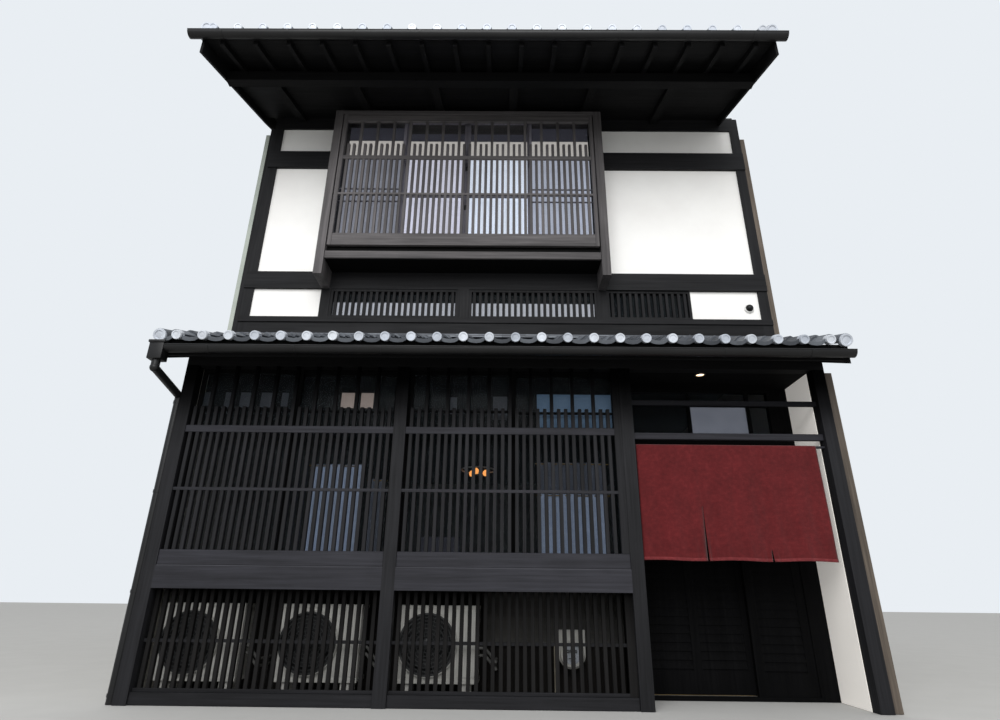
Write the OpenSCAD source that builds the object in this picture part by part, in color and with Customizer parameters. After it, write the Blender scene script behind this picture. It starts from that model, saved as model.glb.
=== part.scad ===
// Two-storey town house of timber, plaster and tile, with a latticed street front.
// Origin: on the ground, under the centre line of the front posts, at the middle of the front.
// The street front faces -Y and the ridge runs along X. Sizes are millimetres.

/* [Frontage] */
// Width over the outer faces of the corner posts
front_w = 5720; // [5600:10:5860]
// Side of the square posts
post = 105; // [98:1:112]
// Left lattice bay, between post centres
left_bay = 1907; // [1860:1:1960]
// Middle lattice bay, between post centres
mid_bay = 1970; // [1920:1:2020]

/* [Depth] */
// Street posts to the upper front wall, between centre lines
set_back = 755; // [700:5:800]
// Upper front wall to the rear wall, between centre lines
main_depth = 7880; // [7400:10:8300]
// Street posts to the outer face of the entrance screen
door_set_back = 480; // [450:5:510]
// Depth that the bay window stands out from the upper front
bay_out = 335; // [300:5:370]

/* [Ground floor heights] */
// Height of the ground sill under the lattices
sill_h = 100; // [80:1:120]
// Underside of the waist beam
waist_z = 805; // [780:5:840]
// Height of the waist beam
waist_h = 175; // [150:5:200]
// Height of the lattice sill on the waist beam
lattice_sill_h = 115; // [90:5:140]
// Underside of the upper lattice rail
lattice_rail_z = 2050; // [2000:5:2100]
// Height of the upper lattice rail
lattice_rail_h = 62; // [50:1:75]
// Height where the short bars of the lattices end
short_bar_z = 2300; // [2250:5:2350]
// Underside of the eave beam over the street posts
eave_beam_z = 2680; // [2660:5:2695]
// Underside of the entrance ceiling
porch_ceiling_z = 2680; // [2660:5:2700]

/* [Upper floor heights] */
// Top of the upper floor
floor_z = 3300; // [3250:5:3340]
// Top of the lower beam of the upper front
low_beam_top = 3538; // [3500:1:3570]
// Underside of the middle beam
mid_beam_z = 3885; // [3850:1:3920]
// Top of the middle beam, where the bay window's floor lies
mid_beam_top = 4090; // [4060:1:4120]
// Underside of the head beam
head_beam_z = 5525; // [5490:1:5560]
// Top of the head beam
head_beam_top = 5765; // [5730:1:5800]
// Underside of the wall plate
plate_z = 6125; // [6090:1:6150]

/* [Roofs] */
// Underside of the lower roof's boards at its eave
low_eave_z = 2700; // [2680:5:2720]
// Rise of the lower roof for each unit of run
low_pitch = 0.42; // [0.4:0.01:0.44]
// Reach of the lower eave in front of the street posts' centre line
low_reach = 400; // [370:5:430]
// Thickness of the lower roof, boards and tile bed, measured upright
low_roof_t = 75; // [60:1:90]
// Overhang of the lower roof past each corner post
low_side = 90; // [70:5:110]
// Underside of the upper roof's boards at its front eave
high_eave_z = 5755; // [5740:5:5770]
// Rise of the upper roof for each unit of run
high_pitch = 0.41; // [0.4:0.01:0.43]
// Reach of the upper eave in front of the upper front wall's centre line
high_reach = 1545; // [1500:5:1590]
// Reach of the rear eave past the rear wall's centre line
rear_reach = 900; // [800:10:1000]
// Thickness of the upper roof, boards and tile bed, measured upright
high_roof_t = 150; // [130:1:160]
// Overhang of the upper roof past the left corner post
high_side = 200; // [170:5:230]
// Distance that the upper roof stops short of the right corner post's outer face
high_short = 105; // [90:5:120]
// Depth of the rafters
rafter_d = 60; // [50:1:70]
// Width of the rafters
rafter_w = 45; // [40:1:55]
// Rafter spacing
rafter_pitch = 349; // [330:1:380]

/* [Bay window] */
// Outer width of the bay window
bay_w = 3120; // [3080:5:3160]
// Distance from the left corner post's outer face to the bay window
bay_from_left = 850; // [830:5:870]
// Width of the bay window's side boards
bay_side_w = 90; // [75:1:105]
// Top of the bay window
bay_top_z = 6090; // [6075:1:6110]
// Height of the rail under the bay lattice
bay_rail_h = 150; // [130:5:170]

/* [Lattice bars] */
// Face width of the bars
bar_w = 30; // [26:1:34]
// Depth of the bars
bar_d = 36; // [30:1:42]
// Cells between long bars in each street bay
street_cells = 10; // [8:1:12]
// Cells between long bars in the bay window
bay_cells = 15; // [12:1:17]
// Depth of the thin rails
thin_rail_h = 24; // [18:1:30]

/* [Entrance] */
// Width of the sliding door leaf
leaf_w = 980; // [940:5:1010]
// Height of the sliding door leaf
leaf_h = 2040; // [2000:5:2070]
// Thickness of the sliding door leaf
leaf_t = 34; // [30:1:40]
// Travel of the sliding door leaf
leaf_travel = 900; // [850:5:920]
// Thickness of the cloth curtain
curtain_t = 8; // [6:1:12]
// Underside of the cloth curtain
curtain_z = 1060; // [1000:5:1100]

/* [Rain goods and equipment] */
// Outer radius of the gutters
gutter_r = 55; // [48:1:60]
// Wall of the gutters
gutter_t = 4; // [3:0.5:5]
// Outer radius of the downpipe
pipe_r = 34; // [30:1:38]
// Width of an outdoor air unit
unit_w = 690; // [660:5:720]
// Height of an outdoor air unit
unit_h = 530; // [510:5:550]
// Depth of an outdoor air unit
unit_d = 270; // [250:5:280]

/* [Hidden] */

timber = [0.13, 0.125, 0.13];
plaster = [0.93, 0.92, 0.9];
tile = [0.42, 0.44, 0.47];
metal_black = [0.1, 0.1, 0.11];
pale_metal = [0.85, 0.85, 0.83];
pane = [0.6, 0.7, 0.75, 0.4];
cloth = [0.5, 0.14, 0.17];

// Post lines and wall lines
x_left = -(front_w - post) / 2;
x_right = -x_left;
x_mid = x_left + left_bay;
x_door = x_mid + mid_bay;
x_out = front_w / 2;
x_in = x_out - post;
half_post = post / 2;
y_upper = set_back;
y_upper_face = y_upper - half_post;
y_rear = set_back + main_depth;
y_rear_face = y_rear + half_post;
y_ridge = y_upper + main_depth / 2;
waist_top = waist_z + waist_h;
sill_top = waist_top + lattice_sill_h;
fit = 5;
seat = 0.3;

// Undersides of the roof boards, front lower slope, front upper slope and rear slope
function low_under(y) = low_eave_z + low_pitch * (y + low_reach);
y_low_eave = -low_reach;
y_high_eave = y_upper - high_reach;
function high_under(y) = high_eave_z + high_pitch * (y - y_high_eave);
z_ridge = high_under(y_ridge);
function rear_under(y) = z_ridge - high_pitch * (y - y_ridge);
y_rear_eave = y_rear + rear_reach;

// Tops of what stands under the roof boards
function low_seat(y) = low_under(y) - seat;
function high_seat(y) = high_under(y) - seat;
function rear_seat(y) = rear_under(y) - seat;

// Box from its low corner to its high corner
module block(a, b) {
    translate(a) cube([b[0] - a[0], b[1] - a[1], b[2] - a[2]]);
}

// Outline in the Y and Z plane drawn out along X
module along_x(x0, x1, points) {
    translate([x0, 0, 0]) rotate([90, 0, 90]) linear_extrude(x1 - x0) polygon(points);
}

// Ground floor, street side
sill_inset = 15;
module ground_sill() color(timber) {
    for (span = [[x_left, x_mid], [x_mid, x_door]])
        block([span[0] + half_post, -half_post + sill_inset, 0], [span[1] - half_post, half_post, sill_h]);
}

module street_posts() color(timber) {
    for (x = [x_left, x_mid, x_door, x_right])
        block([x - half_post, -half_post, 0], [x + half_post, half_post, eave_beam_z]);
}

module waist_beam() color(timber) {
    for (span = [[x_left, x_mid], [x_mid, x_door]])
        block([span[0] + half_post, -half_post, waist_z], [span[1] - half_post, half_post, waist_top]);
}

module lattice_sill() color(timber) {
    for (span = [[x_left, x_mid], [x_mid, x_door]])
        block([span[0] + half_post, -half_post, waist_top], [span[1] - half_post, half_post, sill_top]);
}

// Eave beam under the rafters, cut to their slope
module eave_beam() color(timber) {
    along_x(-x_out, x_out, [[-half_post, eave_beam_z], [half_post, eave_beam_z],
        [half_post, low_under(half_post) - rafter_d], [-half_post, low_under(-half_post) - rafter_d]]);
}

// Lattice of long and short bars on rails: each cell holds one long bar and two short ones
rail_d = 20;
bar_inset = 4;
thin_inset = 2;
module lattice(x0, x1, z0, z_long, z_short, cells, y_face, rails, thin_rails) {
    pitch = (x1 - x0) / (3 * cells);
    for (i = [0 : 3 * cells - 1]) {
        top = i % 3 == 0 ? z_long : z_short;
        x = x0 + (i + 0.5) * pitch;
        block([x - bar_w / 2, y_face + bar_inset, z0], [x + bar_w / 2, y_face + bar_inset + bar_d, top]);
    }
    for (r = rails) block([x0, y_face, r[0]], [x1, y_face + rail_d, r[1]]);
    for (z = thin_rails)
        block([x0, y_face + thin_inset, z - thin_rail_h / 2], [x1, y_face + rail_d, z + thin_rail_h / 2]);
}

lattice_inset = 6;
lattice_face = -half_post + lattice_inset;
mid_rail_z = sill_top + (lattice_rail_z - sill_top) / 2;
module street_lattice(x0, x1) {
    lattice(x0, x1, sill_top, eave_beam_z, short_bar_z, street_cells, lattice_face,
        [[lattice_rail_z, lattice_rail_z + lattice_rail_h]], [mid_rail_z]);
}

module street_lattices() color(timber) {
    street_lattice(x_left + half_post, x_mid - half_post);
    street_lattice(x_mid + half_post, x_door - half_post);
}

// Low lattices, set back behind the face of the posts
low_inset = 40;
low_face = -half_post + low_inset;
low_foot_h = 35;
low_rail_part = 0.55;
module low_lattice(x0, x1) {
    lattice(x0, x1, sill_h, waist_z, waist_z, street_cells, low_face,
        [[sill_h, sill_h + low_foot_h]], [sill_h + (waist_z - sill_h) * low_rail_part]);
}

module low_lattices() color(timber) {
    low_lattice(x_left + half_post, x_mid - half_post);
    low_lattice(x_mid + half_post, x_door - half_post);
}

// Sliding sashes behind the street lattices: two to each bay, in two tracks
sash_w = 36;
sash_t = 28;
track_gap = 4;
sash_gap = 3;
sash_bar_h = 20;
sash_bar_inset = 4;
sash_y = half_post + sash_gap;
module sash(x0, x1, z0, z1, y0, mid_rails) {
    difference() {
        block([x0, y0, z0], [x1, y0 + sash_t, z1]);
        block([x0 + sash_w, y0 - 1, z0 + sash_w], [x1 - sash_w, y0 + sash_t + 1, z1 - sash_w]);
    }
    for (z = mid_rails)
        block([x0 + sash_w, y0 + sash_bar_inset, z - sash_bar_h / 2],
            [x1 - sash_w, y0 + sash_t - sash_bar_inset, z + sash_bar_h / 2]);
}

sash_lap = 20;
module street_windows() color(timber) {
    for (span = [[x_left, x_mid], [x_mid, x_door]]) {
        x0 = span[0] + half_post;
        x1 = span[1] - half_post;
        xm = (x0 + x1) / 2;
        sash(x0, xm + sash_lap, waist_top, eave_beam_z, sash_y, [short_bar_z]);
        sash(xm - sash_lap, x1, waist_top, eave_beam_z, sash_y + sash_t + track_gap, [short_bar_z]);
    }
}

pane_t = 5;
module sash_pane(x0, x1, z0, z1, y0)
    block([x0 + sash_w, y0 + (sash_t - pane_t) / 2, z0], [x1 - sash_w, y0 + (sash_t + pane_t) / 2, z1]);

module street_glass() {
    for (span = [[x_left, x_mid], [x_mid, x_door]]) {
        x0 = span[0] + half_post;
        x1 = span[1] - half_post;
        xm = (x0 + x1) / 2;
        for (part = [[x0, xm + sash_lap, 0], [xm - sash_lap, x1, sash_t + track_gap]])
            for (level = [[waist_top + sash_w, short_bar_z - sash_bar_h / 2],
                [short_bar_z + sash_bar_h / 2, eave_beam_z - sash_w]])
                sash_pane(part[0], part[1], level[0], level[1], sash_y + part[2]);
    }
}

// Board over the sashes, up to the roof boards
sash_room = 2 * (sash_t + sash_gap) + track_gap;
module window_head() color(timber) {
    y0 = half_post;
    y1 = half_post + sash_room;
    along_x(-x_in, x_door - half_post, [[y0, eave_beam_z], [y1, eave_beam_z],
        [y1, low_seat(y1)], [y0, low_seat(y0)]]);
}

// Boarded space for the outdoor units under the windows
board_t = 25;
niche_room = 40;
niche_y = door_set_back - niche_room;
module niche_back() color(timber)
    block([-x_in, niche_y, 0], [x_door - half_post, niche_y + board_t, waist_top - board_t]);
module niche_top() color(timber)
    block([-x_in, half_post, waist_top - board_t], [x_door - half_post, niche_y + board_t, waist_top]);

// Outdoor air units on two feet each, with a round fan well and a cover on the lines to the wall
unit_x = [-2330, -1415, -530];
unit_gap = 50;
unit_y = half_post + unit_gap;
foot_h = 60;
foot_w = 60;
foot_inset = 20;
foot_x = unit_w / 3;
fan_r = 200;
fan_edge = 45;
fan_depth = 25;
cover_w = 60;
cover_low = 400;
cover_high = 500;
module outdoor_unit(x) {
    difference() {
        block([x - unit_w / 2, unit_y, foot_h], [x + unit_w / 2, unit_y + unit_d, foot_h + unit_h]);
        translate([x - unit_w / 2 + fan_r + fan_edge, unit_y - 1, foot_h + unit_h / 2])
            rotate([-90, 0, 0]) cylinder(r = fan_r, h = fan_depth + 1, $fn = 48);
    }
    for (side = [-1, 1])
        block([x + side * foot_x - foot_w / 2, unit_y + foot_inset, 0],
            [x + side * foot_x + foot_w / 2, unit_y + unit_d - foot_inset, foot_h]);
    block([x + foot_x - cover_w / 2, unit_y + unit_d, cover_low],
        [x + foot_x + cover_w / 2, niche_y, cover_high]);
}
module outdoor_units() color(pale_metal) {
    for (x = unit_x) outdoor_unit(x);
}

meter_x = 570;
meter_w = 220;
meter_d = 90;
meter_low = 230;
meter_high = 520;
module meter_box() color(pale_metal) {
    translate([meter_x, niche_y - meter_d, meter_low + meter_w / 2]) rotate([-90, 0, 0])
        cylinder(d = meter_w, h = meter_d, $fn = 40);
    block([meter_x - meter_w / 2, niche_y - meter_d, meter_low + meter_w / 2],
        [meter_x + meter_w / 2, niche_y, meter_high]);
}

// Entrance porch
screen_t = 60;
module porch_side_wall() color(timber)
    block([x_door - half_post, half_post, 0], [x_door + half_post, door_set_back + screen_t, eave_beam_z]);

module porch_ceiling() color(timber)
    block([x_door + half_post, half_post, porch_ceiling_z],
        [x_in, door_set_back + screen_t, porch_ceiling_z + 12]);

low_floor = 30;
rail_rise = 6;
x_porch = x_door + half_post;
jamb_left = 36;
jamb_right = 155;
x_screen = x_in - jamb_right;
head_z = low_floor + rail_rise + leaf_h + fit;
header_h = 90;
module door_jambs() color(timber) {
    block([x_porch, door_set_back, 0], [x_porch + jamb_left, door_set_back + screen_t, porch_ceiling_z]);
    block([x_screen, door_set_back, 0], [x_in, door_set_back + screen_t, porch_ceiling_z]);
}
module threshold() color(timber)
    block([x_porch + jamb_left, door_set_back, 0], [x_screen, door_set_back + screen_t, low_floor]);

// Header over the door, and above it three lights under three small ones
transom_bar = 40;
transom_x = [1790, 2365];
transom_rail_z = 2500;
transom_rail_h = 25;
mullion_w = 30;
mullion_inset = 10;
light_x0 = x_porch + jamb_left + transom_bar;
light_x1 = x_screen - transom_bar;
light_z0 = head_z + header_h;
light_z1 = porch_ceiling_z - transom_bar;
module transom() color(timber) {
    difference() {
        block([x_porch + jamb_left, door_set_back, head_z],
            [x_screen, door_set_back + screen_t, porch_ceiling_z]);
        block([light_x0, door_set_back - 1, light_z0], [light_x1, door_set_back + screen_t + 1, light_z1]);
    }
    for (x = transom_x)
        block([x - mullion_w / 2, door_set_back + mullion_inset, light_z0],
            [x + mullion_w / 2, door_set_back + screen_t - mullion_inset, light_z1]);
    block([light_x0, door_set_back + mullion_inset, transom_rail_z],
        [light_x1, door_set_back + screen_t - mullion_inset, transom_rail_z + transom_rail_h]);
}

module transom_glass() {
    edges = [light_x0 - mullion_w / 2, transom_x[0], transom_x[1], light_x1 + mullion_w / 2];
    for (i = [0 : 2])
        for (level = [[light_z0, transom_rail_z], [transom_rail_z + transom_rail_h, light_z1]])
            block([edges[i] + mullion_w / 2, door_set_back + (screen_t - pane_t) / 2, level[0]],
                [edges[i + 1] - mullion_w / 2, door_set_back + (screen_t + pane_t) / 2, level[1]]);
}

// Boarded leaf with raised slats in two columns, and the fixed screen beside it
stile_w = 75;
slat_pitch = 67;
kick_h = 175;
slat_t = 8;
slat_low = 14;
slat_high = 12;
module slatted_leaf(x0, x1, z0, z1, y0, t, columns) {
    block([x0, y0 + slat_t, z0], [x1, y0 + t, z1]);
    col_w = (x1 - x0 - stile_w) / columns;
    for (i = [0 : columns])
        block([x0 + i * col_w, y0, z0], [x0 + i * col_w + stile_w, y0 + slat_t, z1]);
    for (i = [0 : columns - 1]) {
        c0 = x0 + i * col_w + stile_w;
        c1 = x0 + (i + 1) * col_w;
        block([c0, y0, z0], [c1, y0 + slat_t, z0 + kick_h]);
        block([c0, y0, z1 - stile_w], [c1, y0 + slat_t, z1]);
        slats = floor((z1 - stile_w - z0 - kick_h) / slat_pitch);
        for (k = [1 : slats])
            along_x(c0, c1, [[y0 + slat_t, z0 + kick_h + k * slat_pitch - slat_high],
                [y0 + slat_t, z0 + kick_h + (k - 1) * slat_pitch + slat_low],
                [y0, z0 + kick_h + (k - 1) * slat_pitch + slat_low]]);
    }
}

jamb_lap = 8;
leaf_x = x_porch + jamb_left - jamb_lap;
leaf_y = door_set_back + screen_t + fit;
leaf_z = low_floor + rail_rise;
module sliding_door() color(timber)
    slatted_leaf(leaf_x, leaf_x + leaf_w, leaf_z + seat, leaf_z + leaf_h, leaf_y, leaf_t, 2);

fixed_lap = 30;
fixed_t = 40;
fixed_inset = 10;
module fixed_screen() color(timber)
    slatted_leaf(leaf_x + leaf_w - fixed_lap, x_screen, low_floor, head_z,
        door_set_back + fixed_inset, fixed_t, 1);

// Floor rail that the leaf slides on, as long as its travel
door_rail_w = 10;
module door_rail() color(metal_black)
    block([leaf_x - leaf_travel, leaf_y + (leaf_t - door_rail_w) / 2, low_floor],
        [leaf_x + leaf_w, leaf_y + (leaf_t + door_rail_w) / 2, low_floor + rail_rise]);

rail_low_z = 2065;
rail_high_z = 2355;
module entrance_rail(z, depth, height)
    block([x_porch, -depth / 2, z], [x_in, depth / 2, z + height]);
rail_low_h = 56;
rail_high_h = 26;
rail_low_d = 40;
rail_high_d = 28;
module entrance_rails() color(timber) {
    entrance_rail(rail_low_z, rail_low_d, rail_low_h);
    entrance_rail(rail_high_z, rail_high_d, rail_high_h);
}

pole_r = 11;
pole_z = 2034;
module curtain_pole() color(timber)
    translate([x_porch, 0, pole_z]) rotate([0, 90, 0]) cylinder(r = pole_r, h = x_in - x_porch, $fn = 24);

curtain_edge = 25;
module curtain() color(cloth)
    block([x_porch + curtain_edge, -curtain_t / 2, curtain_z],
        [x_in - curtain_edge, curtain_t / 2, pole_z - pole_r - seat]);

// Floors
module ground_floor() color(plaster) {
    block([-x_in, door_set_back + screen_t, 0], [x_in, y_rear - half_post, low_floor]);
    block([-x_in, niche_y + board_t, 0], [x_door - half_post, door_set_back + screen_t, low_floor]);
}

floor_t = 150;
floor_under = floor_z - floor_t;
module upper_floor() color(timber)
    block([-x_in, y_upper + half_post, floor_under], [x_in, y_rear - half_post, floor_z]);

// Party walls: plain on the outside, with the roof lines as their top
module party_wall(x0) {
    y0 = half_post;
    y2 = y_upper + half_post;
    along_x(x0, x0 + post, [[y0, 0], [y_rear_face, 0], [y_rear_face, rear_seat(y_rear_face)],
        [y_ridge, z_ridge - seat], [y2, high_seat(y2)], [y2, floor_under], [y_upper_face, floor_under],
        [y_upper_face, low_seat(y_upper_face)], [y0, low_seat(y0)]]);
}
module left_party_wall() color(plaster) party_wall(-x_out);
module right_party_wall() color(plaster) party_wall(x_in);

// Rear wall with two windows on each floor
rear_window_w = 900;
rear_window_h = 1100;
rear_window_x = [-1400, 1400];
rear_low_z = 900;
rear_high_z = 4090;
module rear_windows_cut(z) {
    for (x = rear_window_x)
        block([x - rear_window_w / 2, y_rear - post, z],
            [x + rear_window_w / 2, y_rear + post, z + rear_window_h]);
}
module rear_wall_lower() color(plaster) difference() {
    block([-x_in, y_rear - half_post, 0], [x_in, y_rear_face, floor_under]);
    rear_windows_cut(rear_low_z);
}
module rear_wall_upper() color(plaster) difference() {
    y0 = y_rear - half_post;
    along_x(-x_in, x_in, [[y0, floor_under], [y_rear_face, floor_under],
        [y_rear_face, rear_seat(y_rear_face)], [y0, rear_seat(y0)]]);
    rear_windows_cut(rear_high_z);
}

// Timber strips on the rear face
rear_strip = 22;
rear_foot = 60;
rear_gap = 30;
module rear_timbers() color(timber) {
    y0 = y_rear_face;
    y1 = y_rear_face + rear_strip;
    top = rear_under(y1) - rear_gap;
    for (x = [x_left, x_left / 3, x_right / 3, x_right])
        block([x - half_post, y0, rear_foot], [x + half_post, y1, top]);
    for (z = [rear_foot, rear_low_z - post, floor_under, rear_high_z - post, top - post])
        block([-x_out, y0, z], [x_out, y1, z + post]);
}

// Window of a frame with upright bars, which start at y_bar
module barred_window(x0, x1, y0, y1, z0, z1, frame_w, pitch, y_bar) {
    difference() {
        block([x0, y0, z0], [x1, y1, z1]);
        block([x0 + frame_w, y0 - 1, z0 + frame_w], [x1 - frame_w, y1 + 1, z1 - frame_w]);
    }
    bars = floor((x1 - x0 - 2 * frame_w) / pitch);
    step = (x1 - x0 - 2 * frame_w) / bars;
    for (i = [0 : bars - 1]) {
        x = x0 + frame_w + (i + 0.5) * step;
        block([x - bar_w / 2, y_bar, z0 + frame_w], [x + bar_w / 2, y_bar + bar_d, z1 - frame_w]);
    }
}
rear_frame_w = 40;
rear_frame_y = y_rear - 20;
window_bar_pitch = 62;
module rear_windows() color(timber) {
    for (x = rear_window_x)
        for (z = [rear_low_z, rear_high_z])
            barred_window(x - rear_window_w / 2, x + rear_window_w / 2, rear_frame_y, y_rear_face, z,
                z + rear_window_h, rear_frame_w, window_bar_pitch, y_rear_face - bar_inset - bar_d);
}
module rear_glass() {
    for (x = rear_window_x)
        for (z = [rear_low_z, rear_high_z])
            block([x - rear_window_w / 2 + rear_frame_w, rear_frame_y + bar_inset, z + rear_frame_w],
                [x + rear_window_w / 2 - rear_frame_w, rear_frame_y + bar_inset + pane_t,
                    z + rear_window_h - rear_frame_w]);
}

// Upper front: posts between beams, and plaster panels set back in them
bay_x0 = -x_out + bay_from_left;
bay_x1 = bay_x0 + bay_w;
mullion_x = (bay_x0 + bay_x1) / 2;
mullion_half = 60;
small_window_x = 2020;
module upper_posts() color(timber) {
    for (x = [x_left, x_right])
        block([x - half_post, y_upper_face, floor_under], [x + half_post, y_upper + half_post, plate_z]);
    for (x = [bay_x0 + half_post, bay_x1 - half_post])
        for (level = [[low_beam_top, mid_beam_z], [mid_beam_top, head_beam_z], [head_beam_top, plate_z]])
            block([x - half_post, y_upper_face, level[0]], [x + half_post, y_upper + half_post, level[1]]);
    block([mullion_x - mullion_half, y_upper_face, low_beam_top],
        [mullion_x + mullion_half, y_upper + half_post, mid_beam_z]);
}

module upper_beams() color(timber) {
    y0 = y_upper_face;
    y1 = y_upper + half_post;
    for (level = [[floor_under, low_beam_top], [mid_beam_z, mid_beam_top], [head_beam_z, head_beam_top]])
        block([-x_in, y0, level[0]], [x_in, y1, level[1]]);
    along_x(-x_out, x_out, [[y0, plate_z], [y1, plate_z], [y1, high_under(y1) - rafter_d],
        [y0, high_under(y0) - rafter_d]]);
}

// Rails on the face of the beams, lapped over the corner posts
face_rail_t = 15;
face_rail_h = 60;
module face_rails() color(timber) {
    y0 = y_upper_face - face_rail_t;
    for (level = [[mid_beam_z, mid_beam_top], [head_beam_z, head_beam_top]])
        for (span = [[-x_out, bay_x0], [bay_x1, x_out]])
            block([span[0], y0, level[0]], [span[1], y_upper_face, level[1]]);
    block([-x_out, y0, low_beam_top - face_rail_h], [x_out, y_upper_face, low_beam_top]);
}

panel_t = 60;
panel_back = 22;
module upper_plaster() color(plaster) {
    y0 = y_upper_face + panel_back;
    y1 = y0 + panel_t;
    for (level = [[mid_beam_top, head_beam_z], [head_beam_top, plate_z]]) {
        block([-x_in, y0, level[0]], [bay_x0, y1, level[1]]);
        block([bay_x1, y0, level[0]], [x_in, y1, level[1]]);
    }
    block([-x_in, y0, low_beam_top], [bay_x0, y1, mid_beam_z]);
    block([small_window_x, y0, low_beam_top], [x_in, y1, mid_beam_z]);
    block([bay_x0 + post, y0, head_beam_top], [bay_x1 - post, y1, plate_z]);
}

// Low barred vents under the bay window and beside it
vent_y = y_upper_face + 8;
vent_d = 50;
vent_frame_w = 28;
vent_spans = [[bay_x0 + post, mullion_x - mullion_half], [mullion_x + mullion_half, bay_x1 - post],
    [bay_x1, small_window_x]];
module low_vents() color(timber) {
    for (span = vent_spans)
        barred_window(span[0], span[1], vent_y, vent_y + vent_d, low_beam_top, mid_beam_z, vent_frame_w,
            window_bar_pitch, vent_y + bar_inset);
}
module vent_glass() {
    for (span = vent_spans)
        block([span[0] + vent_frame_w, vent_y + vent_d - pane_t - 1, low_beam_top + vent_frame_w],
            [span[1] - vent_frame_w, vent_y + vent_d - 1, mid_beam_z - vent_frame_w]);
}

// Bay window
bay_face = y_upper_face - bay_out;
module bay_sides() color(timber) {
    block([bay_x0, bay_face, mid_beam_z], [bay_x0 + bay_side_w, y_upper_face, bay_top_z]);
    block([bay_x1 - bay_side_w, bay_face, mid_beam_z], [bay_x1, y_upper_face, bay_top_z]);
}

bay_board = 45;
module bay_top() color(timber)
    block([bay_x0 + bay_side_w, bay_face, bay_top_z - bay_board],
        [bay_x1 - bay_side_w, y_upper_face, bay_top_z]);

bay_base_h = 80;
bay_gap_h = 68;
bay_base_y = bay_face + 12;
bay_base_t = 28;
bay_gap_y = bay_face + 32;
bay_gap_t = 18;
module bay_floor() color(timber) {
    x0 = bay_x0 + bay_side_w;
    x1 = bay_x1 - bay_side_w;
    block([x0, bay_base_y, mid_beam_top], [x1, y_upper_face, mid_beam_top + bay_board]);
    block([x0, bay_base_y, mid_beam_top], [x1, bay_base_y + bay_base_t, mid_beam_top + bay_base_h]);
    block([x0, bay_gap_y, mid_beam_top + bay_base_h],
        [x1, bay_gap_y + bay_gap_t, mid_beam_top + bay_base_h + bay_gap_h]);
}

bay_rail_z = mid_beam_top + bay_base_h + bay_gap_h;
bay_sill_z = bay_rail_z + bay_rail_h;
bay_head_z = bay_top_z - bay_rail_h;
bay_short_z = 5640;
bay_upper_rail_z = 5360;
bay_upper_rail_h = 60;
bay_stile_w = 42;
bay_frame_d = 40;
module bay_lattice() color(timber) {
    x0 = bay_x0 + bay_side_w;
    x1 = bay_x1 - bay_side_w;
    y0 = bay_face + lattice_inset;
    lattice(x0 + bay_stile_w, x1 - bay_stile_w, bay_sill_z, bay_head_z, bay_short_z, bay_cells, y0,
        [[bay_upper_rail_z, bay_upper_rail_z + bay_upper_rail_h]],
        [bay_sill_z + (bay_upper_rail_z - bay_sill_z) / 2]);
    for (x = [x0, x1 - bay_stile_w])
        block([x, y0, bay_rail_z], [x + bay_stile_w, y0 + bay_frame_d, bay_top_z - bay_board]);
    block([x0, y0, bay_rail_z], [x1, y0 + bay_frame_d, bay_sill_z]);
    block([x0, y0, bay_head_z], [x1, y0 + bay_frame_d, bay_top_z - bay_board]);
}

// Four sliding screens in two tracks behind the bay lattice
screen_count = 4;
bay_in0 = bay_x0 + post;
bay_in1 = bay_x1 - post;
screen_step = (bay_in1 - bay_in0) / screen_count;
screen_bar_z = 4900;
screen_inset = 20;
function screen_x0(i) = bay_in0 + i * screen_step + (i == 0 ? 0 : i == 2 ? 0.5 : -sash_lap);
function screen_x1(i) = bay_in0 + (i + 1) * screen_step + (i == 3 ? 0 : i == 1 ? -0.5 : sash_lap);
function screen_y(i) = y_upper_face + screen_inset + (i == 0 || i == 3 ? 0 : sash_t + track_gap);
module bay_screens() color(timber) {
    for (i = [0 : screen_count - 1])
        sash(screen_x0(i), screen_x1(i), mid_beam_top, head_beam_z, screen_y(i), [screen_bar_z]);
}
module bay_glass() {
    for (i = [0 : screen_count - 1])
        for (level = [[mid_beam_top + sash_w, screen_bar_z - sash_bar_h / 2],
            [screen_bar_z + sash_bar_h / 2, head_beam_z - sash_w]])
            sash_pane(screen_x0(i), screen_x1(i), level[0], level[1], screen_y(i));
}

// Lower roof
low_x = x_out + low_side;
barge_t = 25;
module lower_roof() color(tile)
    along_x(-low_x + barge_t, low_x - barge_t, [[y_low_eave, low_under(y_low_eave)],
        [y_upper_face, low_under(y_upper_face)], [y_upper_face, low_under(y_upper_face) + low_roof_t],
        [y_low_eave, low_under(y_low_eave) + low_roof_t]]);

rafter_end = 15;
low_rafter_edge = 60;
fascia_h = 70;
module lower_rafters() color(timber) {
    y0 = y_low_eave + rafter_end;
    y1 = half_post;
    block([-low_x + barge_t, y_low_eave, low_eave_z - fascia_h], [low_x - barge_t, y0, low_eave_z - seat]);
    x0 = -x_in + low_rafter_edge;
    count = floor(-2 * x0 / rafter_pitch);
    for (i = [0 : count]) {
        x = x0 - i * 2 * x0 / count;
        along_x(x - rafter_w / 2, x + rafter_w / 2, [[y0, low_under(y0) - rafter_d],
            [y1, low_under(y1) - rafter_d], [y1, low_seat(y1)], [y0, low_seat(y0)]]);
    }
}

barge_drop = 95;
barge_top = 15;
module lower_barges() {
    for (x = [-low_x, low_x - barge_t])
        along_x(x, x + barge_t, [[y_low_eave, low_under(y_low_eave) - barge_drop],
            [y_upper_face, low_under(y_upper_face) - barge_drop],
            [y_upper_face, low_under(y_upper_face) + low_roof_t - barge_top],
            [y_low_eave, low_under(y_low_eave) + low_roof_t - barge_top]]);
}

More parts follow.
